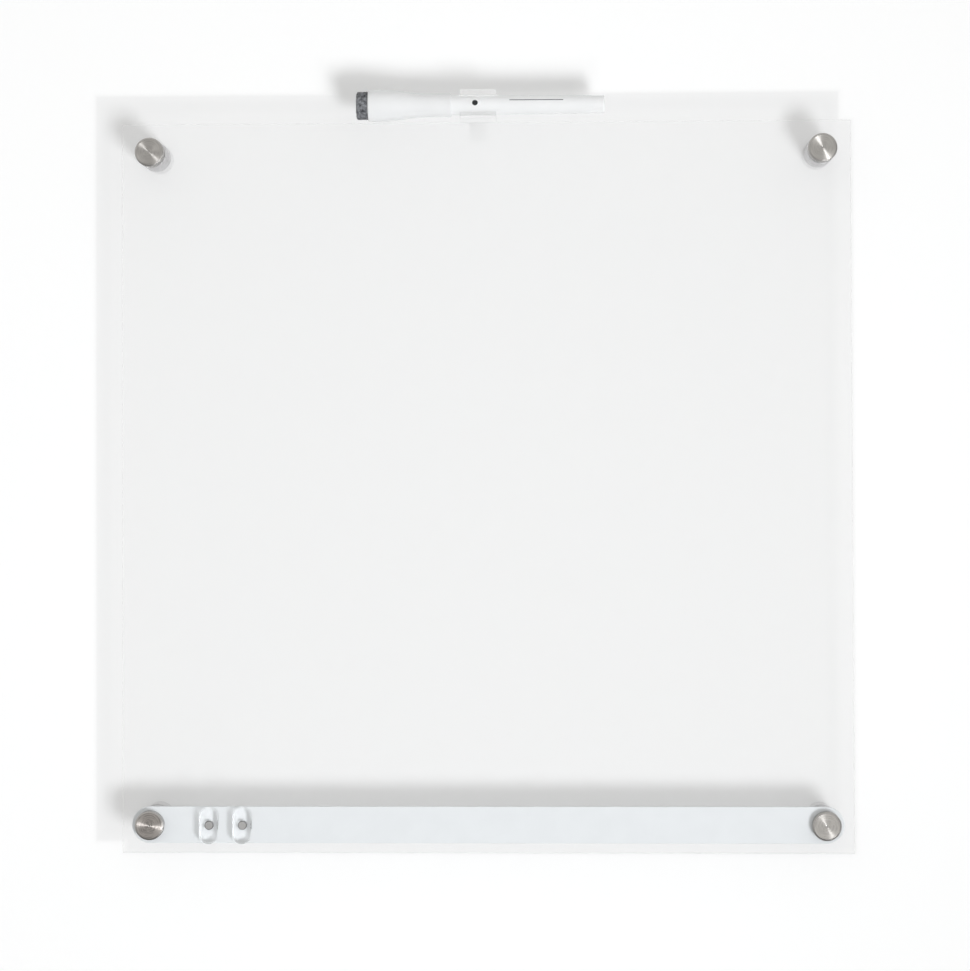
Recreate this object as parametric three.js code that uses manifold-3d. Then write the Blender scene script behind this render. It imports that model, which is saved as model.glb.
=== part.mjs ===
// Clear acrylic wall board: a panel on four round standoffs, a magnetic bar with two magnets, and a
// capped marker held in a clip on the panel's top edge.
// Sizes are in millimetres. X runs along the board, +Z is up and the board faces -Y. The wall is the
// plane Y = 0, and the origin is the middle of the standoff pattern on the wall.

import * as THREE from 'three';
import { mergeVertices } from 'three/addons/utils/BufferGeometryUtils.js';
import Module from 'manifold-3d';

const wasm = await Module();
wasm.setup();

// Panel
const boardWidth = 381;
const boardHeight = 381;
const panelThickness = 3;
const panelEdgeChamfer = 0.35;
const standoffInset = 15;

// Standoffs: a hollow barrel on the wall and a cap whose stud passes through the panel into it
const barrelLength = 19;
const studRadius = 3.9;
const threadClearance = 0.15;
const barrelWall = 3.45;
const barrelFloor = 1.5;
const barrelEdgeBreak = 0.35;
const boreMouthChamfer = 0.5;
const capThickness = 4.5;
const capRimChamfer = 0.7;
const capBackBreak = 0.25;
const studEngagementShare = 0.58;
const studTipChamfer = 0.8;
const studHoleClearance = 0.7;
const washerThickness = 0.8;
const washerInset = 1;

// Wall fixings: a pan-head screw on the barrel's floor, in a ribbed plug whose collar the barrel covers
const screwShankRadius = 1.75;
const screwHoleClearance = 0.35;
const screwHeadHeight = 2.4;
const screwHeadClearance = 0.35;
const screwTipLength = 5;
const screwTipGap = 1;
const recessArm = 3.6;
const recessWidth = 0.9;
const recessDepth = 1.3;
const anchorLength = 26;
const anchorBoreGap = 0.3;
const anchorWall = 1.05;
const anchorRibDepth = 0.45;
const anchorRibCount = 4;
const anchorTaper = 0.6;
const anchorSlotWidth = 0.8;
const anchorSlotLength = 13;
const collarRim = 1;
const collarThickness = 0.9;
const collarClearance = 0.4;
const counterboreDepth = 1.5;

// Magnetic bar, clamped by the two lower caps, with ends rounded about their axes
const barHeight = 19;
const barThickness = 1.5;
const barEdgeChamfer = 0.25;

// Magnets on the bar: a clear pill with a disc magnet in a pocket at its back
const magnetWidth = 9.8;
const magnetHeight = 18.7;
const magnetDepth = 6.5;
const magnetEdgeRound = 2;
const magnetStartGap = 18.5;
const magnetGap = 7.6;
const discRadius = 2.3;
const discThickness = 2;
const discClearance = 0.15;
const pocketGap = 0.3;

// Marker clip: a ring open to the front, on a foot with two legs over the panel's top edge
const clipWidth = 19;
const clipOffset = -3.5;
const clipWall = 2.5;
const clipOpeningAngle = 50;
const clipShoulderAngle = 25;
const clipRingClearance = 0.3;
const clipLegWidth = 9;
const clipLegLength = 9.5;
const clipLegThickness = 1.8;
const clipLegLeadIn = 0.6;
const clipSlotClearance = 0.15;

// Marker, from its barrel out to its cap
const barrelFrontRadius = 5.2;
const barrelTaper = 0.45;
const barrelShellLength = 73.8;
const barrelShellWall = 1.1;
const shellFit = 0.1;
const insertLength = 6;
const sectionSeatStep = 0.3;
const sectionSeatLength = 9;
const sectionNoseLength = 8;
const sectionNoseWall = 0.8;
const nibRadius = 1.9;
const nibTipLength = 5;
const nibBulletLength = 2.4;
const nibSocketDepth = 5;
const reservoirGap = 0.25;
const plugStep = 0.15;
const plugLength = 6.4;
const plugEdgeRound = 0.6;
const plugRecessRadius = 2.8;
const plugRecessDepth = 1.2;
const capLength = 43.3;
const capFit = 0.15;
const capMouthWall = 1.1;
const capFlare = 2.15;
const capFlareStartShare = 0.14;
const capFlareEndShare = 0.72;
const capEndRound = 0.7;
const capPanelGap = 0.85;
const capToClipGap = 4.7;
const capChamberLength = 36;
const feltLength = 6.2;
const feltInset = 0.9;
const feltEdgeRound = 1;
const feltStemInset = 0.8;
const feltStemLength = 3.2;

// Facets
const turnedSegments = 32;
const washerSegments = 20;
const screwSegments = 12;
const markerSegments = 28;
const smallSegments = 16;
const holeArcSegments = 12;
const endArcSegments = 10;
const roundSteps = 4;
const flareSteps = 6;
const weldTolerance = 0.0001;
const cutOverrun = 1;

// Sizes that follow
const halfPitchX = boardWidth / 2 - standoffInset;
const halfPitchZ = boardHeight / 2 - standoffInset;
const boreRadius = studRadius + threadClearance;
const barrelRadius = boreRadius + barrelWall;
const studHoleRadius = studRadius + studHoleClearance;
const washerRadius = barrelRadius - washerInset;
const floorRear = -counterboreDepth;
const floorFront = floorRear - barrelFloor;
const studFreeDepth = barrelLength + floorFront - screwHeadHeight;
const stackThickness = panelThickness + barThickness + 2 * washerThickness;
const studLength = stackThickness + studFreeDepth * studEngagementShare;
const panelRear = -(barrelLength + washerThickness);
const panelFront = panelRear - panelThickness;
const panelMiddle = (panelRear + panelFront) / 2;
const panelTop = boardHeight / 2;
const clampFront = panelFront - washerThickness;
const barFront = clampFront - barThickness;
const anchorBoreRadius = screwShankRadius + anchorBoreGap;
const anchorRadius = anchorBoreRadius + anchorWall;
const collarRadius = anchorRadius + collarRim;

const barrelRearRadius = barrelFrontRadius - barrelTaper;
const shellBoreRadius = barrelRearRadius - barrelShellWall;
const insertRadius = shellBoreRadius - shellFit;
const sectionSeatRadius = barrelFrontRadius - sectionSeatStep;
const nibHoleRadius = nibRadius + shellFit;
const capBoreRadius = sectionSeatRadius + capFit;
const capMouthRadius = capBoreRadius + capMouthWall;
const capEndRadius = capMouthRadius + capFlare;
const feltRadius = capEndRadius - feltInset;
const feltStemRadius = feltRadius - feltStemInset;
const clipRingRadius = barrelFrontRadius + clipRingClearance;
const clipOuterRadius = clipRingRadius + clipWall;
const markerAxisHeight = capEndRadius + capPanelGap;
const clipSlotHalfWidth = panelThickness / 2 + clipSlotClearance;
const clipFootHalfWidth = clipSlotHalfWidth + clipLegThickness;

// Finishes: colour, metalness, roughness and how much shows through
const finishes = {
  clear: { color: 0xe9efef, metalness: 0, roughness: 0.05, transparent: true, opacity: 0.35 },
  vinyl: { color: 0xe3e7e6, metalness: 0, roughness: 0.4, transparent: true, opacity: 0.7 },
  steel: { color: 0x9c9691, metalness: 1, roughness: 0.35 },
  zinc: { color: 0xb5b4ae, metalness: 1, roughness: 0.4 },
  nickel: { color: 0x8f9091, metalness: 1, roughness: 0.3 },
  nylon: { color: 0xd3d3cc, metalness: 0, roughness: 0.6 },
  coated: { color: 0xe6eeee, metalness: 0, roughness: 0.35 },
  shell: { color: 0xf2f3f3, metalness: 0, roughness: 0.25 },
  fibre: { color: 0x17181a, metalness: 0, roughness: 0.9 },
  felt: { color: 0x66696d, metalness: 0, roughness: 1 },
};

// A named piece with its own material
function piece(name, geometry, finish) {
  const mesh = new THREE.Mesh(geometry, new THREE.MeshStandardMaterial(finishes[finish]));
  mesh.name = name;
  return mesh;
}

// Positions only, shared corners joined, and the triangles dropped that close up on an axis
function weld(geometry) {
  geometry.deleteAttribute('normal');
  geometry.deleteAttribute('uv');
  geometry.clearGroups();
  const welded = mergeVertices(geometry, weldTolerance);
  const corners = welded.index.array;
  const kept = [];
  for (let i = 0; i < corners.length; i += 3) {
    const [a, b, c] = corners.slice(i, i + 3);
    if (a !== b && b !== c && c !== a) {
      kept.push(a, b, c);
    }
  }
  welded.setIndex(kept);
  return welded;
}

function toSolid(geometry) {
  const vertProperties = Float32Array.from(geometry.attributes.position.array);
  const triVerts = Uint32Array.from(geometry.index.array);
  return new wasm.Manifold(new wasm.Mesh({ numProp: 3, vertProperties, triVerts }));
}

function toGeometry(solid) {
  const mesh = solid.getMesh();
  const geometry = new THREE.BufferGeometry();
  geometry.setAttribute('position', new THREE.BufferAttribute(mesh.vertProperties, 3));
  geometry.setIndex(new THREE.BufferAttribute(mesh.triVerts, 1));
  return geometry;
}

// A profile of [radius, height] points turned about Y. It starts and ends on the axis, or it closes on
// itself, and it may run either way round.
function turn(profile, segments) {
  const last = profile[profile.length - 1];
  const endsOnAxis = profile[0][0] === 0 && last[0] === 0;
  const ring = endsOnAxis ? profile : [...profile, profile[0]];
  let area = 0;
  ring.forEach(([radius, height], i) => {
    const [nextRadius, nextHeight] = ring[(i + 1) % ring.length];
    area += radius * nextHeight - nextRadius * height;
  });
  const outward = area > 0 ? ring : [...ring].reverse();
  const points = outward.map(([radius, height]) => new THREE.Vector2(radius, height));
  return weld(new THREE.LatheGeometry(points, segments));
}

// A flat shape given its full thickness along +Z, with both its rims rounded by the given radius
function plate(shape, thickness, rimRadius, rimSteps, arcSegments) {
  const options = {
    depth: thickness - 2 * rimRadius,
    bevelThickness: rimRadius,
    bevelSize: rimRadius,
    bevelOffset: -rimRadius,
    bevelSegments: rimSteps,
    curveSegments: arcSegments,
  };
  const geometry = new THREE.ExtrudeGeometry(shape, options);
  geometry.translate(0, 0, rimRadius);
  return weld(geometry);
}

// A piece whose shape lies in the plane of the board and whose thickness runs from its rear face to -Y
function faceOut(mesh, x, rearFace, z) {
  mesh.rotation.x = Math.PI / 2;
  mesh.position.set(x, rearFace, z);
  return mesh;
}

function roundHole(x, z, radius) {
  return new THREE.Path().absarc(x, z, radius, 0, 2 * Math.PI, true);
}

function block(sizeX, sizeY, sizeZ, x, y, z) {
  return toSolid(weld(new THREE.BoxGeometry(sizeX, sizeY, sizeZ).translate(x, y, z)));
}

// Quarter-round points from a flat end to a side wall, on a profile of [radius, height] points
function quarterRound(sideRadius, endHeight, roundRadius, towardsEnd) {
  const points = [];
  for (let step = 0; step <= roundSteps; step += 1) {
    const angle = (step / roundSteps) * (Math.PI / 2);
    const radius = sideRadius - roundRadius * (1 - Math.sin(angle));
    const height = endHeight + towardsEnd * roundRadius * (1 - Math.cos(angle));
    points.push([radius, height]);
  }
  return points;
}

// Panel with a hole for each stud
function makePanel() {
  const shape = new THREE.Shape();
  shape.moveTo(-boardWidth / 2, -boardHeight / 2);
  shape.lineTo(boardWidth / 2, -boardHeight / 2);
  shape.lineTo(boardWidth / 2, boardHeight / 2);
  shape.lineTo(-boardWidth / 2, boardHeight / 2);
  shape.closePath();
  for (const x of [-halfPitchX, halfPitchX]) {
    for (const z of [-halfPitchZ, halfPitchZ]) {
      shape.holes.push(roundHole(x, z, studHoleRadius));
    }
  }
  const geometry = plate(shape, panelThickness, panelEdgeChamfer, 1, holeArcSegments);
  return faceOut(piece('acrylic_panel', geometry, 'clear'), 0, panelRear, 0);
}

function makeBar() {
  const shape = new THREE.Shape();
  const endRadius = barHeight / 2;
  shape.absarc(halfPitchX, 0, endRadius, -Math.PI / 2, Math.PI / 2, false);
  shape.absarc(-halfPitchX, 0, endRadius, Math.PI / 2, (3 * Math.PI) / 2, false);
  shape.holes.push(roundHole(-halfPitchX, 0, studHoleRadius));
  shape.holes.push(roundHole(halfPitchX, 0, studHoleRadius));
  const geometry = plate(shape, barThickness, barEdgeChamfer, 1, holeArcSegments);
  return faceOut(piece('magnetic_bar', geometry, 'coated'), 0, clampFront, -halfPitchZ);
}

// Standoff barrel: a recess for the plug's collar at the wall, a floor for the screw head, an open bore
function barrelProfile() {
  const front = -barrelLength;
  const screwHoleRadius = screwShankRadius + screwHoleClearance;
  const counterboreRadius = collarRadius + collarClearance;
  return [
    [screwHoleRadius, floorRear],
    [counterboreRadius, floorRear],
    [counterboreRadius, 0],
    [barrelRadius - barrelEdgeBreak, 0],
    [barrelRadius, -barrelEdgeBreak],
    [barrelRadius, front + barrelEdgeBreak],
    [barrelRadius - barrelEdgeBreak, front],
    [boreRadius + boreMouthChamfer, front],
    [boreRadius, front + boreMouthChamfer],
    [boreRadius, floorFront],
    [screwHoleRadius, floorFront],
  ];
}

// Cap: a disc with a chamfered rim, seated at height 0, and a stud that reaches back into the barrel
function capProfile() {
  return [
    [0, -capThickness],
    [barrelRadius - capRimChamfer, -capThickness],
    [barrelRadius, capRimChamfer - capThickness],
    [barrelRadius, -capBackBreak],
    [barrelRadius - capBackBreak, 0],
    [studRadius, 0],
    [studRadius, studLength - studTipChamfer],
    [studRadius - studTipChamfer, studLength],
    [0, studLength],
  ];
}

function washerProfile() {
  return [
    [studHoleRadius, 0],
    [washerRadius, 0],
    [washerRadius, washerThickness],
    [studHoleRadius, washerThickness],
  ];
}

// Pan-head screw, its head's underside at height 0, with a cross recess
function makeScrewGeometry() {
  const headRadius = boreRadius - screwHeadClearance;
  const reach = counterboreDepth + barrelFloor + anchorLength - screwTipGap;
  const head = quarterRound(headRadius, -screwHeadHeight, screwHeadHeight / 2, 1);
  const profile = [
    [0, -screwHeadHeight],
    ...head,
    [headRadius, 0],
    [screwShankRadius, 0],
    [screwShankRadius, reach - screwTipLength],
    [0, reach],
  ];
  const depth = recessDepth + cutOverrun;
  const middle = recessDepth - screwHeadHeight - depth / 2;
  const cross = block(recessArm, depth, recessWidth, 0, middle, 0)
    .add(block(recessWidth, depth, recessArm, 0, middle, 0));
  return toGeometry(toSolid(turn(profile, screwSegments)).subtract(cross));
}

// Ribbed wall plug, split in four at its tip, its collar in front of the wall plane
function makeAnchorGeometry() {
  const profile = [
    [anchorBoreRadius, -collarThickness],
    [collarRadius, -collarThickness],
    [collarRadius, 0],
    [anchorRadius, 0],
  ];
  const ribPitch = anchorLength / (anchorRibCount + 1);
  for (let rib = 1; rib <= anchorRibCount; rib += 1) {
    profile.push([anchorRadius - anchorRibDepth, rib * ribPitch]);
    profile.push([anchorRadius, rib * ribPitch]);
  }
  profile.push([anchorRadius - anchorTaper, anchorLength]);
  profile.push([anchorBoreRadius, anchorLength]);
  const depth = anchorSlotLength + cutOverrun;
  const middle = anchorLength - anchorSlotLength + depth / 2;
  const span = 2 * anchorRadius + cutOverrun;
  const slots = block(span, depth, anchorSlotWidth, 0, middle, 0)
    .add(block(anchorSlotWidth, depth, span, 0, middle, 0));
  return toGeometry(toSolid(turn(profile, screwSegments)).subtract(slots));
}

// One standoff with its washers and wall fixing. The cap seats on what the stud clamps.
function makeStandoff(corner, x, z, capSeat) {
  const standoff = new THREE.Group();
  standoff.position.set(x, 0, z);
  const barrel = piece(`standoff_barrel_${corner}`, turn(barrelProfile(), turnedSegments), 'steel');
  const cap = piece(`standoff_cap_${corner}`, turn(capProfile(), turnedSegments), 'steel');
  cap.position.y = capSeat;
  const rearWasher = piece(`rear_washer_${corner}`, turn(washerProfile(), washerSegments), 'vinyl');
  rearWasher.position.y = panelRear;
  const frontWasher = piece(`front_washer_${corner}`, turn(washerProfile(), washerSegments), 'vinyl');
  frontWasher.position.y = clampFront;
  const screw = piece(`wall_screw_${corner}`, makeScrewGeometry(), 'zinc');
  screw.position.y = floorFront;
  const anchor = piece(`wall_anchor_${corner}`, makeAnchorGeometry(), 'nylon');
  standoff.add(barrel, cap, rearWasher, frontWasher, screw, anchor);
  return standoff;
}

// Magnet: an upright pill, round at its front rim and flat at its back, with a pocket for the disc
function makeMagnetBody() {
  const shape = new THREE.Shape();
  const endRadius = magnetWidth / 2;
  const reach = magnetHeight / 2 - endRadius;
  shape.absarc(0, reach, endRadius, 0, Math.PI, false);
  shape.absarc(0, -reach, endRadius, Math.PI, 2 * Math.PI, false);
  const doubled = plate(shape, 2 * magnetDepth, magnetEdgeRound, roundSteps, endArcSegments);
  const cover = magnetDepth + cutOverrun;
  const coverMiddle = magnetDepth - cover / 2;
  const rearHalf = block(magnetWidth + cutOverrun, magnetHeight + cutOverrun, cover, 0, 0, coverMiddle);
  const pocketDepth = discThickness + pocketGap + cutOverrun;
  const pocketRadius = discRadius + discClearance;
  const pocket = new THREE.CylinderGeometry(pocketRadius, pocketRadius, pocketDepth, smallSegments);
  pocket.rotateX(Math.PI / 2);
  pocket.translate(0, 0, magnetDepth - cutOverrun + pocketDepth / 2);
  const body = toSolid(doubled).subtract(rearHalf).subtract(toSolid(weld(pocket)));
  return toGeometry(body).translate(0, 0, -magnetDepth);
}

function makeMagnet(number, x) {
  const magnet = new THREE.Group();
  magnet.position.set(x, barFront, -halfPitchZ);
  const body = faceOut(piece(`magnet_body_${number}`, makeMagnetBody(), 'clear'), 0, 0, 0);
  const discGeometry = weld(new THREE.CylinderGeometry(discRadius, discRadius, discThickness, smallSegments));
  const disc = piece(`magnet_disc_${number}`, discGeometry, 'nickel');
  disc.position.y = -discThickness / 2;
  magnet.add(body, disc);
  return magnet;
}

// Clip section in the plane across the panel's top edge: +X of the shape points to the wall and +Y up,
// with the middle of the panel's top edge at 0, 0. The ring opens to the front between round lips.
function clipRingShape() {
  const lipAngle = Math.PI - THREE.MathUtils.degToRad(clipOpeningAngle);
  const shoulder = THREE.MathUtils.degToRad(clipShoulderAngle);
  const down = -Math.PI / 2;
  const lipRadius = clipWall / 2;
  const lipCentre = clipRingRadius + lipRadius;
  const lipX = lipCentre * Math.cos(lipAngle);
  const lipRise = lipCentre * Math.sin(lipAngle);
  const axis = markerAxisHeight;
  const shape = new THREE.Shape();
  shape.absarc(0, axis, clipOuterRadius, -lipAngle, down - shoulder, false);
  shape.lineTo(-clipFootHalfWidth, 0);
  shape.lineTo(clipFootHalfWidth, 0);
  shape.absarc(0, axis, clipOuterRadius, down + shoulder, lipAngle, false);
  shape.absarc(lipX, axis + lipRise, lipRadius, lipAngle, lipAngle + Math.PI, false);
  shape.absarc(0, axis, clipRingRadius, lipAngle, -lipAngle, true);
  shape.absarc(lipX, axis - lipRise, lipRadius, Math.PI - lipAngle, 2 * Math.PI - lipAngle, false);
  return shape;
}

// One leg in the same section: side is -1 at the front of the panel and 1 behind it
function clipLegShape(side) {
  const inner = side * clipSlotHalfWidth;
  const outer = side * clipFootHalfWidth;
  const root = markerAxisHeight - clipRingRadius - clipWall / 2;
  const shape = new THREE.Shape();
  shape.moveTo(inner, root);
  shape.lineTo(outer, root);
  shape.lineTo(outer, -clipLegLength);
  shape.lineTo(inner + side * clipLegLeadIn, -clipLegLength);
  shape.lineTo(inner, clipLegLeadIn - clipLegLength);
  shape.closePath();
  return shape;
}

function makeClip() {
  const centred = (shape, width) => {
    const options = { depth: width, bevelEnabled: false, curveSegments: endArcSegments };
    return toSolid(weld(new THREE.ExtrudeGeometry(shape, options).translate(0, 0, -width / 2)));
  };
  const body = centred(clipRingShape(), clipWidth)
    .add(centred(clipLegShape(-1), clipLegWidth))
    .add(centred(clipLegShape(1), clipLegWidth));
  const slotDepth = clipLegLength + cutOverrun;
  const slot = block(2 * clipSlotHalfWidth, slotDepth, clipWidth + cutOverrun, 0, -slotDepth / 2, 0);
  const clip = piece('marker_clip', toGeometry(body.subtract(slot)), 'clear');
  const wallward = new THREE.Vector3(0, 1, 0);
  const upward = new THREE.Vector3(0, 0, 1);
  const along = new THREE.Vector3(1, 0, 0);
  clip.quaternion.setFromRotationMatrix(new THREE.Matrix4().makeBasis(wallward, upward, along));
  return clip;
}

// Marker pieces are turned about their own axis. Height 0 is the plane where the cap meets the barrel,
// the cap and nib are below it and the tail is above it.
function markerBarrelProfile() {
  return [
    [shellBoreRadius, 0],
    [barrelFrontRadius, 0],
    [barrelRearRadius, barrelShellLength],
    [shellBoreRadius, barrelShellLength],
  ];
}

function endPlugProfile() {
  const tail = barrelShellLength + plugLength;
  const plugRadius = barrelRearRadius - plugStep;
  const rim = quarterRound(plugRadius, tail, plugEdgeRound, -1).reverse();
  return [
    [0, barrelShellLength - insertLength],
    [insertRadius, barrelShellLength - insertLength],
    [insertRadius, barrelShellLength],
    [plugRadius, barrelShellLength],
    ...rim,
    [plugRecessRadius, tail],
    [plugRecessRadius, tail - plugRecessDepth],
    [0, tail - plugRecessDepth],
  ];
}

function sectionProfile() {
  const nose = -(sectionSeatLength + sectionNoseLength);
  return [
    [nibHoleRadius, nose],
    [nibHoleRadius + sectionNoseWall, nose],
    [sectionSeatRadius, -sectionSeatLength],
    [sectionSeatRadius, 0],
    [insertRadius, 0],
    [insertRadius, insertLength],
    [nibHoleRadius, insertLength],
  ];
}

function nibProfile() {
  const tip = -(sectionSeatLength + sectionNoseLength + nibTipLength);
  const bullet = [];
  for (let step = 0; step <= roundSteps; step += 1) {
    const angle = (step / roundSteps) * (Math.PI / 2);
    bullet.push([nibRadius * Math.sin(angle), tip + nibBulletLength * (1 - Math.cos(angle))]);
  }
  const root = insertLength + nibSocketDepth;
  return [...bullet, [nibRadius, root], [0, root]];
}

function reservoirProfile() {
  const radius = shellBoreRadius - reservoirGap;
  const socketEnd = insertLength + nibSocketDepth;
  const rear = barrelShellLength - insertLength;
  return [
    [0, socketEnd],
    [nibHoleRadius, socketEnd],
    [nibHoleRadius, insertLength],
    [radius, insertLength],
    [radius, rear],
    [0, rear],
  ];
}

// Cap: a bore for the section and nib from its mouth, a flare to its end, and a socket for the felt
function capShellProfile() {
  const end = -capLength;
  const flare = [];
  const flareStart = end + capLength * capFlareStartShare;
  const flareEnd = end + capLength * capFlareEndShare;
  for (let step = 0; step <= flareSteps; step += 1) {
    const along = step / flareSteps;
    const ease = (1 - Math.cos(along * Math.PI)) / 2;
    flare.push([capEndRadius - capFlare * ease, flareStart + (flareEnd - flareStart) * along]);
  }
  return [
    [0, end + feltStemLength],
    [feltStemRadius + shellFit, end + feltStemLength],
    [feltStemRadius + shellFit, end],
    ...quarterRound(capEndRadius, end, capEndRound, 1),
    ...flare,
    [capMouthRadius, 0],
    [capBoreRadius, 0],
    [capBoreRadius, -capChamberLength],
    [0, -capChamberLength],
  ];
}

function feltProfile() {
  const seat = -capLength;
  return [
    [0, seat - feltLength],
    ...quarterRound(feltRadius, seat - feltLength, feltEdgeRound, 1),
    [feltRadius, seat],
    [feltStemRadius, seat],
    [feltStemRadius, seat + feltStemLength],
    [0, seat + feltStemLength],
  ];
}

function makeMarker() {
  const marker = new THREE.Group();
  marker.rotation.z = -Math.PI / 2;
  const cap = new THREE.Group();
  cap.add(
    piece('marker_cap', turn(capShellProfile(), markerSegments), 'shell'),
    piece('eraser_felt', turn(feltProfile(), markerSegments), 'felt'),
  );
  marker.add(
    piece('marker_barrel', turn(markerBarrelProfile(), markerSegments), 'shell'),
    piece('marker_end_plug', turn(endPlugProfile(), markerSegments), 'shell'),
    piece('marker_section', turn(sectionProfile(), markerSegments), 'shell'),
    piece('marker_nib', turn(nibProfile(), smallSegments), 'fibre'),
    piece('ink_reservoir', turn(reservoirProfile(), smallSegments), 'fibre'),
    cap,
  );
  return marker;
}

const board = new THREE.Group();
board.add(makePanel(), makeBar());

for (const [column, x] of [['left', -halfPitchX], ['right', halfPitchX]]) {
  board.add(makeStandoff(`top_${column}`, x, halfPitchZ, clampFront));
  board.add(makeStandoff(`bottom_${column}`, x, -halfPitchZ, barFront));
}

const firstMagnetX = barrelRadius + magnetStartGap + magnetWidth / 2 - halfPitchX;
board.add(makeMagnet(1, firstMagnetX));
board.add(makeMagnet(2, firstMagnetX + magnetWidth + magnetGap));

const clipGroup = new THREE.Group();
clipGroup.position.set(clipOffset, panelMiddle, panelTop);
const marker = makeMarker();
marker.position.set(-clipWidth / 2 - capToClipGap, 0, markerAxisHeight);
clipGroup.add(makeClip(), marker);
board.add(clipGroup);

export default board;
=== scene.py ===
# %% [markdown]
# # A clear wall board on standoffs
# Nearly everything here is white or clear. What tells the pieces apart is small: soft shadows on the wall,
# bright and dark lines at the edges of clear plastic, and four brushed metal caps. The work is therefore
# in the light, in true refraction, and in edges that are rounded as the real ones are.
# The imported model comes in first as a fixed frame. Each new piece takes its place from it.

# %% Load the frame
import math

import bmesh
import bpy
from mathutils import Matrix, Vector


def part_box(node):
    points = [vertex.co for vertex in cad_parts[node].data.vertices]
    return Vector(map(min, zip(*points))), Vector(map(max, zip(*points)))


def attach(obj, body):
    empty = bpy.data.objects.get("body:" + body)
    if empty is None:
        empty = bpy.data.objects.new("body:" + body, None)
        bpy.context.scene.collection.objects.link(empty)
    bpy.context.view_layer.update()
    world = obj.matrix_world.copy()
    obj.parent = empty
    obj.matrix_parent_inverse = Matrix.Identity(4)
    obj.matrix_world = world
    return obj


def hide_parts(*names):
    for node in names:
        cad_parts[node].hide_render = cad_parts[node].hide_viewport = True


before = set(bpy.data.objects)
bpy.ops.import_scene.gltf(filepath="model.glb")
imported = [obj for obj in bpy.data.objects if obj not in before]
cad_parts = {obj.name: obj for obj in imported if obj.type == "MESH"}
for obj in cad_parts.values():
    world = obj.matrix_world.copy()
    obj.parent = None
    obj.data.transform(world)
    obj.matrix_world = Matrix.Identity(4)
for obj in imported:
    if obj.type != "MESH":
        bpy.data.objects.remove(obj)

MM = 0.001
QUARTER_TURN = math.pi / 2
CORNERS = ("top_left", "top_right", "bottom_left", "bottom_right")
scene = bpy.context.scene
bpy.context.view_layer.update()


def put(name, data):
    """A new object of the scene, made from its data."""
    placed = bpy.data.objects.new(name, data)
    scene.collection.objects.link(placed)
    return placed


# %% [markdown]
# ## Camera
# The photograph is a long-lens view, almost square on to the wall. The lens was found from how far the
# caps seem to shift against the far ends of their barrels. The frame was cropped off centre afterwards,
# which a camera's shift describes: it slides the picture without turning the camera.

# %% Camera
PHOTO_WIDTH, PHOTO_HEIGHT = 970, 971
FOCAL_PIXELS = 2569.7
CROP_PIXELS = (11.8, -78.3)
SENSOR = 36
CAMERA_PLACE = (0.0339, -1.3625, 0.0168)
CAMERA_YAW, CAMERA_PITCH, CAMERA_ROLL = (math.radians(angle) for angle in (1.728, 1.057, 0.187))


def make_camera():
    data = bpy.data.cameras.new("camera")
    longest = max(PHOTO_WIDTH, PHOTO_HEIGHT)
    data.sensor_width = SENSOR
    data.lens = FOCAL_PIXELS / longest * SENSOR
    data.shift_x, data.shift_y = (pixels / longest for pixels in CROP_PIXELS)
    camera = put("camera", data)
    level = Matrix.Rotation(QUARTER_TURN, 4, "X")
    turn = Matrix.Rotation(CAMERA_YAW, 4, "Z") @ Matrix.Rotation(CAMERA_PITCH, 4, "X")
    turn = turn @ Matrix.Rotation(CAMERA_ROLL, 4, "Y")
    camera.matrix_world = Matrix.Translation(CAMERA_PLACE) @ turn @ level
    scene.camera = camera
    return camera


camera = make_camera()
print("lens", round(camera.data.lens, 1), "mm")

# %% [markdown]
# ## Building nodes in a few lines
# A material is a small graph. Writing each node and link out would bury the idea, so one helper makes a
# node, sets it and connects it. An input is given by name or number, as a value or as another node's socket.

# %% Node helpers


def add(tree, kind, inputs=None, **settings):
    made = tree.nodes.new(kind)
    for name, value in settings.items():
        setattr(made, name, value)
    for name, value in (inputs or {}).items():
        if isinstance(value, bpy.types.NodeSocket):
            tree.links.new(value, made.inputs[name])
        else:
            made.inputs[name].default_value = value
    return made


def math_of(tree, operation, first, *others, clamp=False):
    """One operation on a single value, or on several values one after another."""
    result = first
    for other in others or (0.0,):
        pair = {0: result, 1: other}
        result = add(tree, "ShaderNodeMath", pair, operation=operation, use_clamp=clamp).outputs[0]
    return result


def times(tree, *values, **more):
    return math_of(tree, "MULTIPLY", *values, **more)


def plus(tree, *values):
    return math_of(tree, "ADD", *values)


def minus(tree, *values, **more):
    return math_of(tree, "SUBTRACT", *values, **more)


def hypotenuse(tree, *sides):
    squares = [times(tree, side, side) for side in sides]
    return math_of(tree, "SQRT", plus(tree, *squares))


def spread(tree, value, low, high, to_low=0.0, to_high=1.0):
    inputs = {"Value": value, "From Min": low, "From Max": high, "To Min": to_low, "To Max": to_high}
    return add(tree, "ShaderNodeMapRange", inputs).outputs["Result"]


def split(tree, vector):
    return add(tree, "ShaderNodeSeparateXYZ", {0: vector}).outputs


def object_place(tree):
    return add(tree, "ShaderNodeTexCoord").outputs["Object"]


def light_path(tree):
    return add(tree, "ShaderNodeLightPath").outputs


def relief_of(tree, height, strength, distance, **more):
    inputs = {"Height": height, "Strength": strength, "Distance": distance, **more}
    return add(tree, "ShaderNodeBump", inputs).outputs[0]


def grey(level):
    return (level, level, level, 1)


def toned(colour, factor):
    """The same colour, darker or lighter."""
    return tuple(min(1, channel * factor) for channel in colour[:3]) + (1,)


def blend_colour(tree, share, first, second):
    return add(tree, "ShaderNodeMix", {0: share, 6: first, 7: second}, data_type="RGBA").outputs[2]


def blend_shader(tree, share, first, second):
    return add(tree, "ShaderNodeMixShader", {0: share, 1: first, 2: second}).outputs[0]


def paint_shader(tree, inputs):
    return add(tree, "ShaderNodeBsdfPrincipled", inputs).outputs[0]


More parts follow.
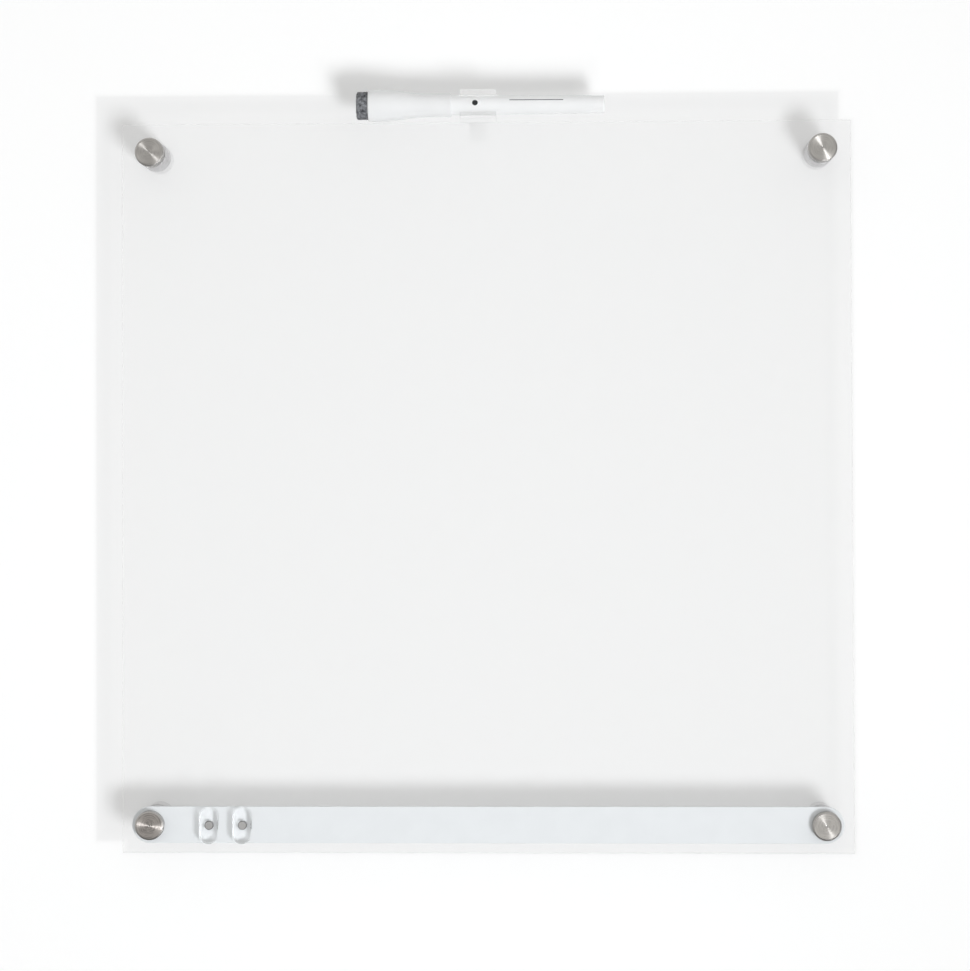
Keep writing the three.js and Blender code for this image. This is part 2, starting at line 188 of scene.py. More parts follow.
def new_material(name):
    material = bpy.data.materials.new(name)
    material.use_nodes = True
    material.node_tree.nodes.clear()
    return material, material.node_tree


def end_material(tree, surface):
    add(tree, "ShaderNodeOutputMaterial", {"Surface": surface})


print("node helpers ready")

# %% [markdown]
# ## Wall, floor and air
# The wall in the photograph is pure white, yet shadows on it must stay. A stronger lamp would burn out the
# board too. So the wall is a plain matt surface, and a small glow that only the camera, reflections and
# glass can see lifts it to white. Where a shadow falls, the matt part darkens and the glow doesn't.
# Behind the board, over its shadow and over the marker's shadow the glow is a little weaker, inside three
# overlapping rectangles: painted shade on the wall, with crisp borders but for the marker's soft one. Seen
# from behind, the wall is clear, so the fixings can be looked at as well. The floor is pale to the eye. Metal
# sees the near part of it dark, as a studio's floor is, and that draws the dark lines along metal edges.

# %% Stage
WALL_PAINT, WALL_ROUGH = 0.72, 0.95
WALL_GLOW, WALL_GLOW_IN_PAINTED_SHADE = 0.32, 0.23
FLOOR_GLOW = 0.53
FLOOR_IN_METAL, FAR_FLOOR_IN_METAL = 0.12, 0.74
FLOOR_FADE_FROM, FLOOR_FADE_TO = 2.5, 4.8
BORDER_SOFTNESS, MARKER_BORDER_SOFTNESS = 0.0012, 0.008
# Rectangles of painted shade on the wall: behind the board, over the board's shadow, over the marker's
# shadow.
PAINTED_SHADE_BEHIND_BOARD = ((-0.1931, 0.1941, -0.1944, 0.1937), BORDER_SOFTNESS)
PAINTED_SHADE_ON_BOARD_SHADOW = ((-0.2086, 0.1872, -0.1881, 0.2091), BORDER_SOFTNESS)
PAINTED_SHADE_ON_MARKER_SHADOW = ((-0.0835, 0.0535, 0.15, 0.2212), MARKER_BORDER_SOFTNESS)
WALL_PLACE, WALL_HALF_WIDTH, WALL_HALF_HEIGHT = 0.0002, 1.1, 0.9
FLOOR_HEIGHT, FLOOR_HALF = -1.3, 5
TURN_ROUND = ((-1, -1), (1, -1), (1, 1), (-1, 1))


def rays_that_look(tree):
    path = light_path(tree)
    kinds = (path["Is Glossy Ray"], path["Is Transmission Ray"], path["Is Camera Ray"])
    return math_of(tree, "MAXIMUM", *kinds)


def rays_off_metal(tree):
    """Reflected rays only. A ray bent by glass counts as glossy too, so that one is taken out."""
    path = light_path(tree)
    return minus(tree, path["Is Glossy Ray"], path["Is Transmission Ray"], clamp=True)


def inside_rectangle(tree, part, sides, softness):
    low_x, high_x, low_z, high_z = sides
    found = []
    for axis, low, high in (("X", low_x, high_x), ("Z", low_z, high_z)):
        found.append(spread(tree, part[axis], low - softness, low + softness))
        found.append(spread(tree, part[axis], high + softness, high - softness))
    return math_of(tree, "MINIMUM", *found)


def matt_with_glow(tree, glow_strength):
    inputs = {"Base Color": grey(WALL_PAINT), "Roughness": WALL_ROUGH, "Specular IOR Level": 0}
    paint = paint_shader(tree, inputs)
    strength = times(tree, rays_that_look(tree), glow_strength)
    glow = add(tree, "ShaderNodeEmission", {"Strength": strength}).outputs[0]
    return add(tree, "ShaderNodeAddShader", {0: paint, 1: glow}).outputs[0]


def wall_material():
    material, tree = new_material("wall_paint")
    part = split(tree, object_place(tree))
    # Painted shade: the glow is weaker inside the three rectangles.
    zones = [inside_rectangle(tree, part, *zone) for zone in (PAINTED_SHADE_BEHIND_BOARD, PAINTED_SHADE_ON_BOARD_SHADOW, PAINTED_SHADE_ON_MARKER_SHADOW)]
    painted_shade = math_of(tree, "MAXIMUM", *zones)
    front = matt_with_glow(tree, spread(tree, painted_shade, 0, 1, WALL_GLOW, WALL_GLOW_IN_PAINTED_SHADE))
    behind = add(tree, "ShaderNodeNewGeometry").outputs["Backfacing"]
    clear = add(tree, "ShaderNodeBsdfTransparent").outputs[0]
    end_material(tree, blend_shader(tree, behind, front, clear))
    return material


def floor_material():
    material, tree = new_material("floor_paint")
    front = matt_with_glow(tree, FLOOR_GLOW)
    inputs = {0: object_place(tree)}
    distance = add(tree, "ShaderNodeVectorMath", inputs, operation="LENGTH").outputs["Value"]
    level = spread(tree, distance, FLOOR_FADE_FROM, FLOOR_FADE_TO, FLOOR_IN_METAL, FAR_FLOOR_IN_METAL)
    dark = add(tree, "ShaderNodeEmission", {"Strength": level}).outputs[0]
    end_material(tree, blend_shader(tree, rays_off_metal(tree), front, dark))
    return material


def stage_sheet(name, corners, material):
    mesh = bpy.data.meshes.new(name)
    mesh.from_pydata(corners, [], [(0, 1, 2, 3)])
    mesh.materials.append(material)
    sheet = put(name, mesh)


wall_corners = [(x * WALL_HALF_WIDTH, WALL_PLACE, z * WALL_HALF_HEIGHT) for x, z in TURN_ROUND]
stage_sheet("wall", wall_corners, wall_material())
floor_corners = [(x * FLOOR_HALF, y * FLOOR_HALF, FLOOR_HEIGHT) for x, y in TURN_ROUND]
stage_sheet("floor", floor_corners, floor_material())
print("wall and floor made")

# %% [markdown]
# ## Light
# All shadows in the photograph fall up and to the left and have soft edges. One lamp of a little under half
# a metre, low on the right in front of the board, gives that. It is aimed past the board's far corner, as a
# photographer feathers a softbox, so that the near corner isn't brighter. A softbox's cloth lights evenly,
# but what shines in brushed metal is mostly its hot middle, so a small lamp at the same place is seen in
# reflections alone. The rest is the room: an even light, but dark low down and on the right to anything
# that reflects it. The camera itself sees it as plain white.

# %% Light
KEY_PLACE, KEY_AIM = Vector((0.64, -1.34, -0.59)), Vector((-2.0, 0, 1.6))
KEY_SIZE, KEY_SEEN_SIZE = 0.44, 0.08
KEY_POWER, KEY_SEEN_SHARE = 11.2, 0.42
KEY_SPREAD = math.radians(132)
KEY_COLOUR = (0.985, 1.0, 1.02)
ROOM_LEVEL, ROOM_LOW, ROOM_HIGH = 0.57, 0.76, 1.24
ROOM_COLOUR = (1.0, 1.0, 0.985, 1)
ROOM_IN_METAL, ROOM_DARK_IN_METAL = 0.74, 0.06
ROOM_DARK_IN_GLASS = 0.70
DARK_SIDE = (0.6, 0.0, -0.8)
DARK_START, DARK_END = 0.15, 0.45


def make_lamp(name, size, power):
    data = bpy.data.lights.new(name, "AREA")
    data.shape = "SQUARE"
    data.size = size
    data.energy = power
    data.spread = KEY_SPREAD
    data.color = KEY_COLOUR
    lamp = put(name, data)
    aim = (KEY_PLACE - KEY_AIM).to_track_quat("Z", "Y").to_matrix().to_4x4()
    lamp.matrix_world = Matrix.Translation(KEY_PLACE) @ aim
    return lamp


def make_key():
    cloth = make_lamp("key", KEY_SIZE, KEY_POWER)
    cloth.visible_glossy = False
    cloth.visible_transmission = False
    middle = make_lamp("key_seen_in_metal", KEY_SEEN_SIZE, KEY_POWER * KEY_SEEN_SHARE)
    middle.visible_diffuse = False
    middle.visible_transmission = False


def make_room():
    world = bpy.data.worlds.new("room")
    world.use_nodes = True
    tree = world.node_tree
    tree.nodes.clear()
    direction = add(tree, "ShaderNodeTexCoord").outputs["Generated"]
    inputs = {0: direction, 1: DARK_SIDE}
    towards = add(tree, "ShaderNodeVectorMath", inputs, operation="DOT_PRODUCT").outputs["Value"]
    dark = spread(tree, towards, DARK_START, DARK_END)
    height = split(tree, direction)["Z"]
    level = spread(tree, height, -1, 1, ROOM_LEVEL * ROOM_LOW, ROOM_LEVEL * ROOM_HIGH)
    in_metal = spread(tree, dark, 0, 1, ROOM_IN_METAL, ROOM_DARK_IN_METAL)
    in_glass = spread(tree, dark, 0, 1, 1, ROOM_DARK_IN_GLASS)
    path = light_path(tree)
    for kind, seen in (("Glossy", in_metal), ("Transmission", in_glass), ("Camera", 1)):
        level = spread(tree, path[f"Is {kind} Ray"], 0, 1, level, seen)
    tint = blend_colour(tree, path["Is Camera Ray"], ROOM_COLOUR, grey(1))
    air = add(tree, "ShaderNodeBackground", {"Color": tint, "Strength": level})
    add(tree, "ShaderNodeOutputWorld", {"Surface": air.outputs[0]})
    scene.world = world


make_key()
make_room()
scene.view_settings.view_transform = "Standard"
print("key lamp", KEY_POWER, "W, room", ROOM_LEVEL)

# %% [markdown]
# ## Effects that several finishes share
# Wear looks false when each material has its own idea of it. Each effect is therefore a group, built once
# and placed in every material with its own values. A group only puts out masks and heights.

# %% Shared effects
PATCH_CONTRAST = (0.35, 0.65)
SCRATCH_RUNS = ((0.5, (1, 1, 14)), (-0.9, (11, 1, 1)))
SCRATCH_BREAKS = (0.5, 0.6)
DUST_GATHERING, DUST_LIMIT, DUST_SOFTNESS = 0.02, 0.86, 0.05
WEAR_BREAKS, WEAR_SCALE = (0.35, 0.6), 1500.0
BAND_SHARE = 0.12


def new_group(name, inputs, outputs):
    group = bpy.data.node_groups.new(name, "ShaderNodeTree")
    for label, value in inputs.items():
        kind = "NodeSocketVector" if value is None else "NodeSocketFloat"
        socket = group.interface.new_socket(label, in_out="INPUT", socket_type=kind)
        if value is not None:
            socket.default_value = value
    for label in outputs:
        group.interface.new_socket(label, in_out="OUTPUT", socket_type="NodeSocketFloat")
    return group, add(group, "NodeGroupInput").outputs


def noise(tree, vector, scale, detail=2.0):
    inputs = {"Vector": vector, "Scale": scale, "Detail": detail}
    return add(tree, "ShaderNodeTexNoise", inputs).outputs["Fac"]


def make_grain():
    """Fine unevenness of a moulded or coated skin, and the broad patches that handling leaves."""
    group, given = new_group("grain", {"Vector": None, "Fine": 3000.0, "Broad": 60.0}, ("Height", "Patch"))
    height = noise(group, given["Vector"], given["Fine"])
    patch = spread(group, noise(group, given["Vector"], given["Broad"], 4.0), *PATCH_CONTRAST)
    add(group, "NodeGroupOutput", {"Height": height, "Patch": patch})
    return group


def make_scratches():
    """Hair scratches: thin bands of two stretched noises that cross each other."""
    group, given = new_group("scratches", {"Vector": None, "Scale": 60.0, "Width": 0.006}, ("Mask",))
    found = []
    for turn, stretch in SCRATCH_RUNS:
        inputs = {"Vector": given["Vector"], "Rotation": (0, turn, 0), "Scale": stretch}
        turned_vector = add(group, "ShaderNodeMapping", inputs).outputs[0]
        level = noise(group, turned_vector, given["Scale"], 1.0)
        away = math_of(group, "ABSOLUTE", minus(group, level, 0.5))
        found.append(math_of(group, "LESS_THAN", away, given["Width"]))
    broken = spread(group, noise(group, given["Vector"], given["Scale"], 3.0), *SCRATCH_BREAKS)
    line = math_of(group, "MAXIMUM", *found)
    add(group, "NodeGroupOutput", {"Mask": times(group, line, broken, clamp=True)})
    return group


def make_dust():
    """Specks that gather in patches."""
    group, given = new_group("dust", {"Vector": None, "Scale": 900.0, "Amount": 0.3}, ("Mask",))
    speck = noise(group, given["Vector"], given["Scale"], 3.0)
    patch_scale = times(group, given["Scale"], DUST_GATHERING)
    gathered = times(group, given["Amount"], noise(group, given["Vector"], patch_scale))
    above = minus(group, speck, minus(group, DUST_LIMIT, gathered))
    add(group, "NodeGroupOutput", {"Mask": spread(group, above, 0, DUST_SOFTNESS)})
    return group


# This mask serves two ends: on metal it lightens rubbed edges, and on the bar's coat it darkens the rounded
# edges as painted shade.
def make_edge_wear():
    """Edges that hands and tools have rubbed: where a rounded normal leaves the true one."""
    group, given = new_group("edge_wear", {"Vector": None, "Radius": 0.0003, "Gain": 6.0}, ("Mask",))
    rounded = add(group, "ShaderNodeBevel", {"Radius": given["Radius"]}, samples=4).outputs[0]
    normal = add(group, "ShaderNodeNewGeometry").outputs["Normal"]
    same = add(group, "ShaderNodeVectorMath", {0: rounded, 1: normal}, operation="DOT_PRODUCT")
    turned_away = minus(group, 1.0, same.outputs["Value"])
    edge = times(group, turned_away, given["Gain"])
    rubbed = spread(group, noise(group, given["Vector"], WEAR_SCALE), *WEAR_BREAKS)
    add(group, "NodeGroupOutput", {"Mask": times(group, edge, rubbed, clamp=True)})
    return group


def make_turned_lines():
    """Lines that a lathe or a brush leaves round an axis. U of the map runs round, and V along in metres."""
    group, given = new_group("turned_lines", {"Map": None, "Pitch": 0.00009}, ("Height", "Band"))
    part = split(group, given["Map"])
    angle = times(group, part["X"], math.tau)
    along = math_of(group, "DIVIDE", part["Y"], given["Pitch"])
    around = {"X": math_of(group, "COSINE", angle), "Y": math_of(group, "SINE", angle)}
    found = []
    for climb in (along, times(group, along, BAND_SHARE)):
        vector = add(group, "ShaderNodeCombineXYZ", {**around, "Z": climb}).outputs[0]
        found.append(noise(group, vector, 1.0))
    add(group, "NodeGroupOutput", {"Height": found[0], "Band": found[1]})
    return group


def effect(tree, group, **values):
    return add(tree, "ShaderNodeGroup", values, node_tree=group).outputs


GRAIN, SCRATCHES, DUST = make_grain(), make_scratches(), make_dust()
EDGE_WEAR_AND_SHADE, TURNED_LINES = make_edge_wear(), make_turned_lines()

print("shared effects", [group.name for group in bpy.data.node_groups])

# %% [markdown]
# ## Clear plastics
# Acrylic bends light with an index of 1.49, and that alone draws its edges. A path tracer makes clear things
# cast solid shadows unless light may pass straight through them, so lamp and bounce rays meet a tinted
# clear shader instead. Light that enters by the thin edge stays inside the sheet, so a ray that meets the
# surface at a slant is dimmed more: that is the darker rim round the shadow of the sheet. The eye also sees
# a share of the view straight on, unbent. Cut edges are milky, thin mouldings are partly so, and the upper
# half of the clip has a weak painted glow, which stands in for the light that such a moulding gathers.

# %% Clear plastics
ACRYLIC_INDEX, POLYCARBONATE_INDEX = 1.49, 1.58
SLANT, EYE_TO_EDGE = (0.3, 0.5), (0.5, 0.9)
SKIN_FINE, SKIN_BROAD, SKIN_DEPTH = 180.0, 14.0, 0.0001
PLASTIC_DUST = 0.28
PLASTIC_HANDLED, PLASTIC_SCRATCHED, PLASTIC_DUSTY = 0.012, 0.10, 0.2
MILK_ROUGH = 0.4


def clear_plastic(name, index, tint, gloss, shadow, plainness, scratch_scale, bump, haze=0, glow=0):
    """shadow is what a shadow keeps of the light, where rays meet the surface squarely and at a slant.

    plainness is the share of the light that isn't bent, where the surface faces the eye and at its edge.
    haze is the milky share of the rest. glow is a painted glow of that milky share:
    light that it gives off, though it is no lamp.
    """
    material, tree = new_material(name)
    place = object_place(tree)
    grain = effect(tree, GRAIN, Vector=place, Fine=SKIN_FINE, Broad=SKIN_BROAD)
    scratch = effect(tree, SCRATCHES, Vector=place, Scale=scratch_scale)["Mask"]
    dust = effect(tree, DUST, Vector=place, Amount=PLASTIC_DUST)["Mask"]
    lines = times(tree, scratch, PLASTIC_SCRATCHED)
    marks = math_of(tree, "MAXIMUM", lines, times(tree, dust, PLASTIC_DUSTY))
    handled = times(tree, grain["Patch"], PLASTIC_HANDLED)
    rough = plus(tree, handled, gloss, marks)
    relief = relief_of(tree, grain["Height"], bump, SKIN_DEPTH)
    inputs = {"Base Color": tint, "Roughness": rough, "IOR": index, "Transmission Weight": 1.0}
    solid = paint_shader(tree, {**inputs, "Normal": relief})
    facing = add(tree, "ShaderNodeLayerWeight", {"Blend": 0.5}).outputs["Facing"]
    path = light_path(tree)
    passed = blend_colour(tree, spread(tree, facing, *SLANT), *(grey(level) for level in shadow))
    passed = blend_colour(tree, path["Is Shadow Ray"], grey(1), passed)
    clear = add(tree, "ShaderNodeBsdfTransparent", {"Color": passed}).outputs[0]
    plain = spread(tree, facing, *EYE_TO_EDGE, *plainness)
    through = math_of(tree, "MAXIMUM", path["Is Shadow Ray"], path["Is Diffuse Ray"], plain)
    if haze:
        # Painted glow: the milky share gives off light of its own, though it is no lamp.
        milk = paint_shader(tree, {"Base Color": tint, "Roughness": MILK_ROUGH, "Emission Strength": glow})
        solid = blend_shader(tree, haze, solid, milk)
        material.cycles.emission_sampling = "NONE"
    end_material(tree, blend_shader(tree, through, solid, clear))
    return material


def acrylic(name, tint, *values, **more):
    return clear_plastic(name, ACRYLIC_INDEX, tint, *values, **more)


def clip_plastic(name, gloss, shadow, plainness, haze, glow=0):
    tint = (0.985, 0.988, 0.985, 1)
    values = (gloss, shadow, (plainness, plainness), 260.0, 0.02, haze, glow)
    return clear_plastic(name, POLYCARBONATE_INDEX, tint, *values)


PANEL_TINT, CAST_TINT = (0.988, 0.988, 0.987, 1), (0.99, 0.995, 0.995, 1)
VINYL_TINT = (0.93, 0.94, 0.93, 1)
PANEL_CLEAR = acrylic("panel_acrylic", PANEL_TINT, 0.0, (0.96, 0.6), (0.4, 0.8), 55.0, 0.02)
PANEL_CUT = acrylic("panel_cut_edge", PANEL_TINT, 0.3, (0.96, 0.6), (0.85, 0.85), 300.0, 0.1, haze=1.0)
# The magnets let more lamp light through than reaches them: a painted pool of light on the bar under each
# pill.
CAST_CLEAR = acrylic("magnet_acrylic", CAST_TINT, 0.0, (1.38, 0.12), (0.8, 0.15), 300.0, 0.05)
VINYL_CLEAR = acrylic("washer_vinyl", VINYL_TINT, 0.3, (0.8, 0.6), (0.0, 0.0), 400.0, 0.2, haze=0.5)
CLIP_CLEAR = clip_plastic("clip_plastic", 0.03, (0.88, 0.7), 0.90, 0.6)
# The ring's upper half gives off a weak painted glow.
CLIP_UPPER_PAINTED_GLOW = clip_plastic("clip_upper_painted_glow", 0.03, (0.88, 0.7), 0.84, 0.6, glow=0.4)
CLIP_LEG = clip_plastic("clip_thin_leg", 0.03, (1.0, 0.98), 0.995, 0.3)
print("clear plastics made")

# %% [markdown]
# ## Metals
# A cap's face is brushed round its axis. Each tiny groove throws light across itself, so the highlight
# becomes a bow tie through the middle. An anisotropic shader does this when it knows which way the grooves
# run, and the map that each turned piece carries tells it: U runs round the axis. No two faces are brushed
# alike, so each cap has its own roughness, and each shines as if ground a few degrees out of square.

# %% Metals
TURNED_MAP = "turned"
BAND_SOFTNESS, BAND_ROUGH = (0.3, 0.7), (0.85, 1.2)
RING_SOFTNESS = (0.45, 0.6)
METAL_HANDLED, METAL_SCRATCHED = 0.03, 0.12
METAL_FINE, METAL_BROAD, METAL_SCRATCH_SCALE = 4000.0, 160.0, 420.0
GROOVE_SHADE, DEEP_SHADE, WORN_SHADE = 0.86, 0.6, 1.12
GROOVE_DEPTH = 0.00001
QUARTER_OF_A_TURN = 0.25


def metal(name, colour, rough, stretch, pitch, bump, edge_tint=0.8, lean=None, rings=0.0, painted_shade_from=None):
    """lean is the slope of the surface's shine along X and Z, for a face ground a little out of square.

    rings is how strongly the lathe's broader rings show. The last argument, where given, is the place along Y
    from which the steel is painted darker towards the wall: painted shade at the foot of a barrel.
    """
    material, tree = new_material(name)
    place = object_place(tree)
    turned_map = add(tree, "ShaderNodeUVMap", uv_map=TURNED_MAP).outputs[0]
    lines = effect(tree, TURNED_LINES, Map=turned_map, Pitch=pitch)
    grain = effect(tree, GRAIN, Vector=place, Fine=METAL_FINE, Broad=METAL_BROAD)
    worn = effect(tree, EDGE_WEAR_AND_SHADE, Vector=place)["Mask"]
    scratch = effect(tree, SCRATCHES, Vector=place, Scale=METAL_SCRATCH_SCALE)["Mask"]
    band = spread(tree, lines["Band"], *BAND_SOFTNESS, *(rough * share for share in BAND_ROUGH))
    handled = times(tree, grain["Patch"], METAL_HANDLED)
    marked = plus(tree, handled, times(tree, scratch, METAL_SCRATCHED))
    roughness = plus(tree, band, marked)
    deep = toned(colour, DEEP_SHADE)
    groove = spread(tree, lines["Height"], *BAND_SOFTNESS)
    tone = blend_colour(tree, groove, toned(colour, GROOVE_SHADE), colour)
    tone = blend_colour(tree, worn, tone, toned(colour, WORN_SHADE))
    part = split(tree, place)
    if rings:
        ring = times(tree, spread(tree, lines["Band"], *RING_SOFTNESS), rings)
        tone = blend_colour(tree, ring, tone, deep)
    # Painted shade: the steel darkens towards the wall, where a barrel's foot meets it.
    if painted_shade_from is not None:
        tone = blend_colour(tree, spread(tree, part["Y"], painted_shade_from, 0), tone, deep)
    relief = relief_of(tree, lines["Height"], bump, GROOVE_DEPTH)
    if lean:
        slopes = [times(tree, part[axis], -slope) for axis, slope in zip("XZ", lean)]
        relief = relief_of(tree, plus(tree, *slopes), 1.0, 1.0, Normal=relief)
    inputs = {"Base Color": tone, "Metallic": 1.0, "Roughness": roughness, "Normal": relief}
    inputs.update({"Anisotropic": stretch, "Anisotropic Rotation": QUARTER_OF_A_TURN})
    inputs["Specular Tint"] = grey(edge_tint)
    if stretch:
        grooves = add(tree, "ShaderNodeTangent", direction_type="UV_MAP", uv_map=TURNED_MAP)
        inputs["Tangent"] = grooves.outputs[0]
    end_material(tree, paint_shader(tree, inputs))
    return material


CAP_PITCH, CAP_RELIEF = 0.00007, 0.25
# Each cap's face has its own base colour, painted light and shade: the top right one is lightest, and the
# bottom left one is darkest and a little warmer.
CAP_GREY, CAP_PAINTED_LIGHTER = (0.635, 0.61, 0.58, 1), (0.66, 0.635, 0.605, 1)
CAP_PAINTED_LIGHTEST, CAP_PAINTED_DARKER = (0.70, 0.675, 0.64, 1), (0.62, 0.575, 0.54, 1)
CAP_FINISH = {
    "top_left": (CAP_GREY, 0.37, 0.95, (0.075, -0.05), 0.3),
    "top_right": (CAP_PAINTED_LIGHTEST, 0.34, 0.92, (-0.01, -0.112), 0.3),
    "bottom_left": (CAP_PAINTED_DARKER, 0.325, 0.93, (0.09, -0.018), 1.0),
    "bottom_right": (CAP_PAINTED_LIGHTER, 0.20, 0.82, (0.03, 0.085), 0.4),
}


def cap_face(corner):
    colour, rough, stretch, lean, rings = CAP_FINISH[corner]
    return metal(f"cap_face_{corner}", colour, rough, stretch, CAP_PITCH, CAP_RELIEF, lean=lean, rings=rings)


CAP_FACES = {corner: cap_face(corner) for corner in CORNERS}
CAP_SIDE, BARREL_COLOUR = (0.54, 0.52, 0.50, 1), (0.73, 0.72, 0.73, 1)
CAP_EDGE = metal("cap_polished_edge", CAP_SIDE, 0.24, 0.0, 0.00015, 0.05)
CAP_BEVEL = metal("cap_satin_bevel", CAP_SIDE, 0.40, 0.0, 0.00015, 0.05)
# The barrel is painted darker over its last 8 mm towards the wall: painted shade at its foot.
BARREL_STEEL = metal(
    "barrel_turned_steel", BARREL_COLOUR, 0.26, 0.5, 0.00012, 0.2, edge_tint=0.85, painted_shade_from=-0.008
)
SCREW_ZINC = metal("screw_zinc", (0.66, 0.65, 0.61, 1), 0.34, 0.0, 0.0002, 0.1)
DISC_NICKEL = metal("disc_nickel", (0.50, 0.49, 0.485, 1), 0.38, 0.0, 0.0001, 0.1)
# A painted reflection: the disc's rolled edge is dark, as if it mirrored the dark pocket round it.
DISC_EDGE_PAINTED_SHADE = metal("disc_edge_painted_shade", (0.14, 0.135, 0.14, 1), 0.4, 0.0, 0.0001, 0.1)
print("metals made")

# %% [markdown]
# ## Opaque plastics, coating and fibre
# The bar's powder coat has a faint orange peel, the marker's shell is glossy with a very slight ripple from
# its mould, and the wall plug is dull nylon. They differ in numbers only, so one function makes them all.

# %% Opaque finishes
INK = (0.015, 0.015, 0.018, 1)
COAT_BROAD, COAT_SCRATCH_SCALE, COAT_DUST = 90.0, 280.0, 0.12
COAT_HANDLED, COAT_SCRATCHED, COAT_DUSTY = 0.05, 0.1, 0.2
SOIL_SHADE, SOIL_SHARE, DUST_SHARE = 0.94, 0.35, 0.25
COAT_DEPTH, FIBRE_DEPTH = 0.0001, 0.0002
SPECK_CONTRAST, CLUMP_SHARE, SPECK_SHARE = (0.42, 0.58), 0.6, 0.4


def coating(name, colour, rough, fine, bump, edge_shade_colour=None, printed=None):
    """printed is a function that draws a mask of the ink."""
    material, tree = new_material(name)
    place = object_place(tree)
    grain = effect(tree, GRAIN, Vector=place, Fine=fine, Broad=COAT_BROAD)
    dust = effect(tree, DUST, Vector=place, Amount=COAT_DUST)["Mask"]
    scratch = effect(tree, SCRATCHES, Vector=place, Scale=COAT_SCRATCH_SCALE)["Mask"]
    handled = times(tree, grain["Patch"], COAT_HANDLED)
    lines = times(tree, scratch, COAT_SCRATCHED)
    marks = plus(tree, lines, times(tree, dust, COAT_DUSTY))
    roughness = plus(tree, handled, rough, marks)
    soiled = times(tree, grain["Patch"], SOIL_SHARE)
    tone = blend_colour(tree, soiled, colour, toned(colour, SOIL_SHADE))
    tone = blend_colour(tree, times(tree, dust, DUST_SHARE), tone, grey(0.5))
    # On the bar, painted shade: its rounded edges darken where the edge mask falls.
    if edge_shade_colour:
        tone = blend_colour(tree, effect(tree, EDGE_WEAR_AND_SHADE, Vector=place)["Mask"], tone, edge_shade_colour)
    if printed:
        tone = blend_colour(tree, printed(tree, place), tone, INK)
    relief = relief_of(tree, grain["Height"], bump, COAT_DEPTH)
    end_material(tree, paint_shader(tree, {"Base Color": tone, "Roughness": roughness, "Normal": relief}))
    return material


def pressed_fibre(name, dark, light, clump, rough, bump):
    """Felt is mottled: clumps of its fibres lie lighter or darker, and finer specks lie over them."""
    material, tree = new_material(name)
    grain = effect(tree, GRAIN, Vector=object_place(tree), Fine=clump * 3, Broad=clump)
    clumps = times(tree, grain["Patch"], CLUMP_SHARE)
    specks = times(tree, spread(tree, grain["Height"], *SPECK_CONTRAST), SPECK_SHARE)
    tone = blend_colour(tree, plus(tree, clumps, specks), dark, light)
    relief = relief_of(tree, grain["Height"], bump, FIBRE_DEPTH)
    inputs = {"Base Color": tone, "Roughness": rough, "Normal": relief}
    inputs.update({"Sheen Weight": 0.25, "Sheen Roughness": 0.4, "Specular IOR Level": 0.2})
    end_material(tree, paint_shader(tree, inputs))
    return material


# The bar's second colour is painted shade along its rounded edges.
BAR_WHITE, BAR_EDGE_PAINTED_SHADE = (0.84, 0.865, 0.885, 1), (0.79, 0.82, 0.83, 1)
# The marker's barrel and tail get a lighter white than the shell: painted light on them.
SHELL_COLOUR, BARREL_PAINTED_LIGHTER_WHITE = (0.895, 0.90, 0.905, 1), (0.94, 0.945, 0.95, 1)
FELT_DARK, FELT_LIGHT = (0.028, 0.029, 0.033, 1), (0.345, 0.355, 0.375, 1)
BAR_COAT = coating("bar_powder_coat", BAR_WHITE, 0.5, 1400.0, 0.12, edge_shade_colour=BAR_EDGE_PAINTED_SHADE)
SHELL_WHITE = coating("marker_shell", SHELL_COLOUR, 0.2, 500.0, 0.04)
PLUG_NYLON = coating("wall_plug_nylon", (0.62, 0.62, 0.58, 1), 0.5, 2500.0, 0.2)
NIB_FIBRE = coating("nib_fibre", (0.012, 0.012, 0.014, 1), 0.85, 6000.0, 0.8)
FELT_GREY = pressed_fibre("eraser_felt_fibre", FELT_DARK, FELT_LIGHT, 620.0, 0.95, 0.9)
print("opaque finishes made")

# %% [markdown]
# ## Turned pieces
# Most pieces here are made on a lathe or in a round mould. A profile of points is turned about an axis.
# Real edges are never sharp, so a third number at a point rounds that corner, and one more point beside the
# rounding keeps the flat next to it flat when it is shaded smooth. The piece also gets a map whose U runs
# round the axis and whose V runs along the profile, for the grooves.

# %% Lathe
ROUND_STEPS = 4
HOLD_FROM = 4
SMOOTH_ANGLE = math.radians(32)
ON_AXIS = 1e-9
MERGE_WITHIN, SHEET_MERGE_WITHIN = 1e-8, 1e-7


def softened(profile, closed):
    """The profile with each marked corner replaced by a short curve. Points are (radius, along, round)."""
    count = len(profile)
    points = []
    for i, (radius, along, *rounding) in enumerate(profile):
        here = Vector((radius, along))
        at_end = not closed and i in (0, count - 1)
        if not rounding or at_end:
            points.append(here)
            continue
        before = Vector(profile[i - 1][:2]) - here
        after = Vector(profile[(i + 1) % count][:2]) - here
        starts = here + before.normalized() * min(rounding[0], before.length / 2)
        ends = here + after.normalized() * min(rounding[0], after.length / 2)
        if before.length > rounding[0] * HOLD_FROM:
            points.append(starts + before.normalized() * rounding[0] / 2)
        for step in range(ROUND_STEPS + 1):
            share = step / ROUND_STEPS
            points.append(starts * (1 - share) ** 2 + here * 2 * share * (1 - share) + ends * share**2)
        if after.length > rounding[0] * HOLD_FROM:
            points.append(ends + after.normalized() * rounding[0] / 2)
    return points


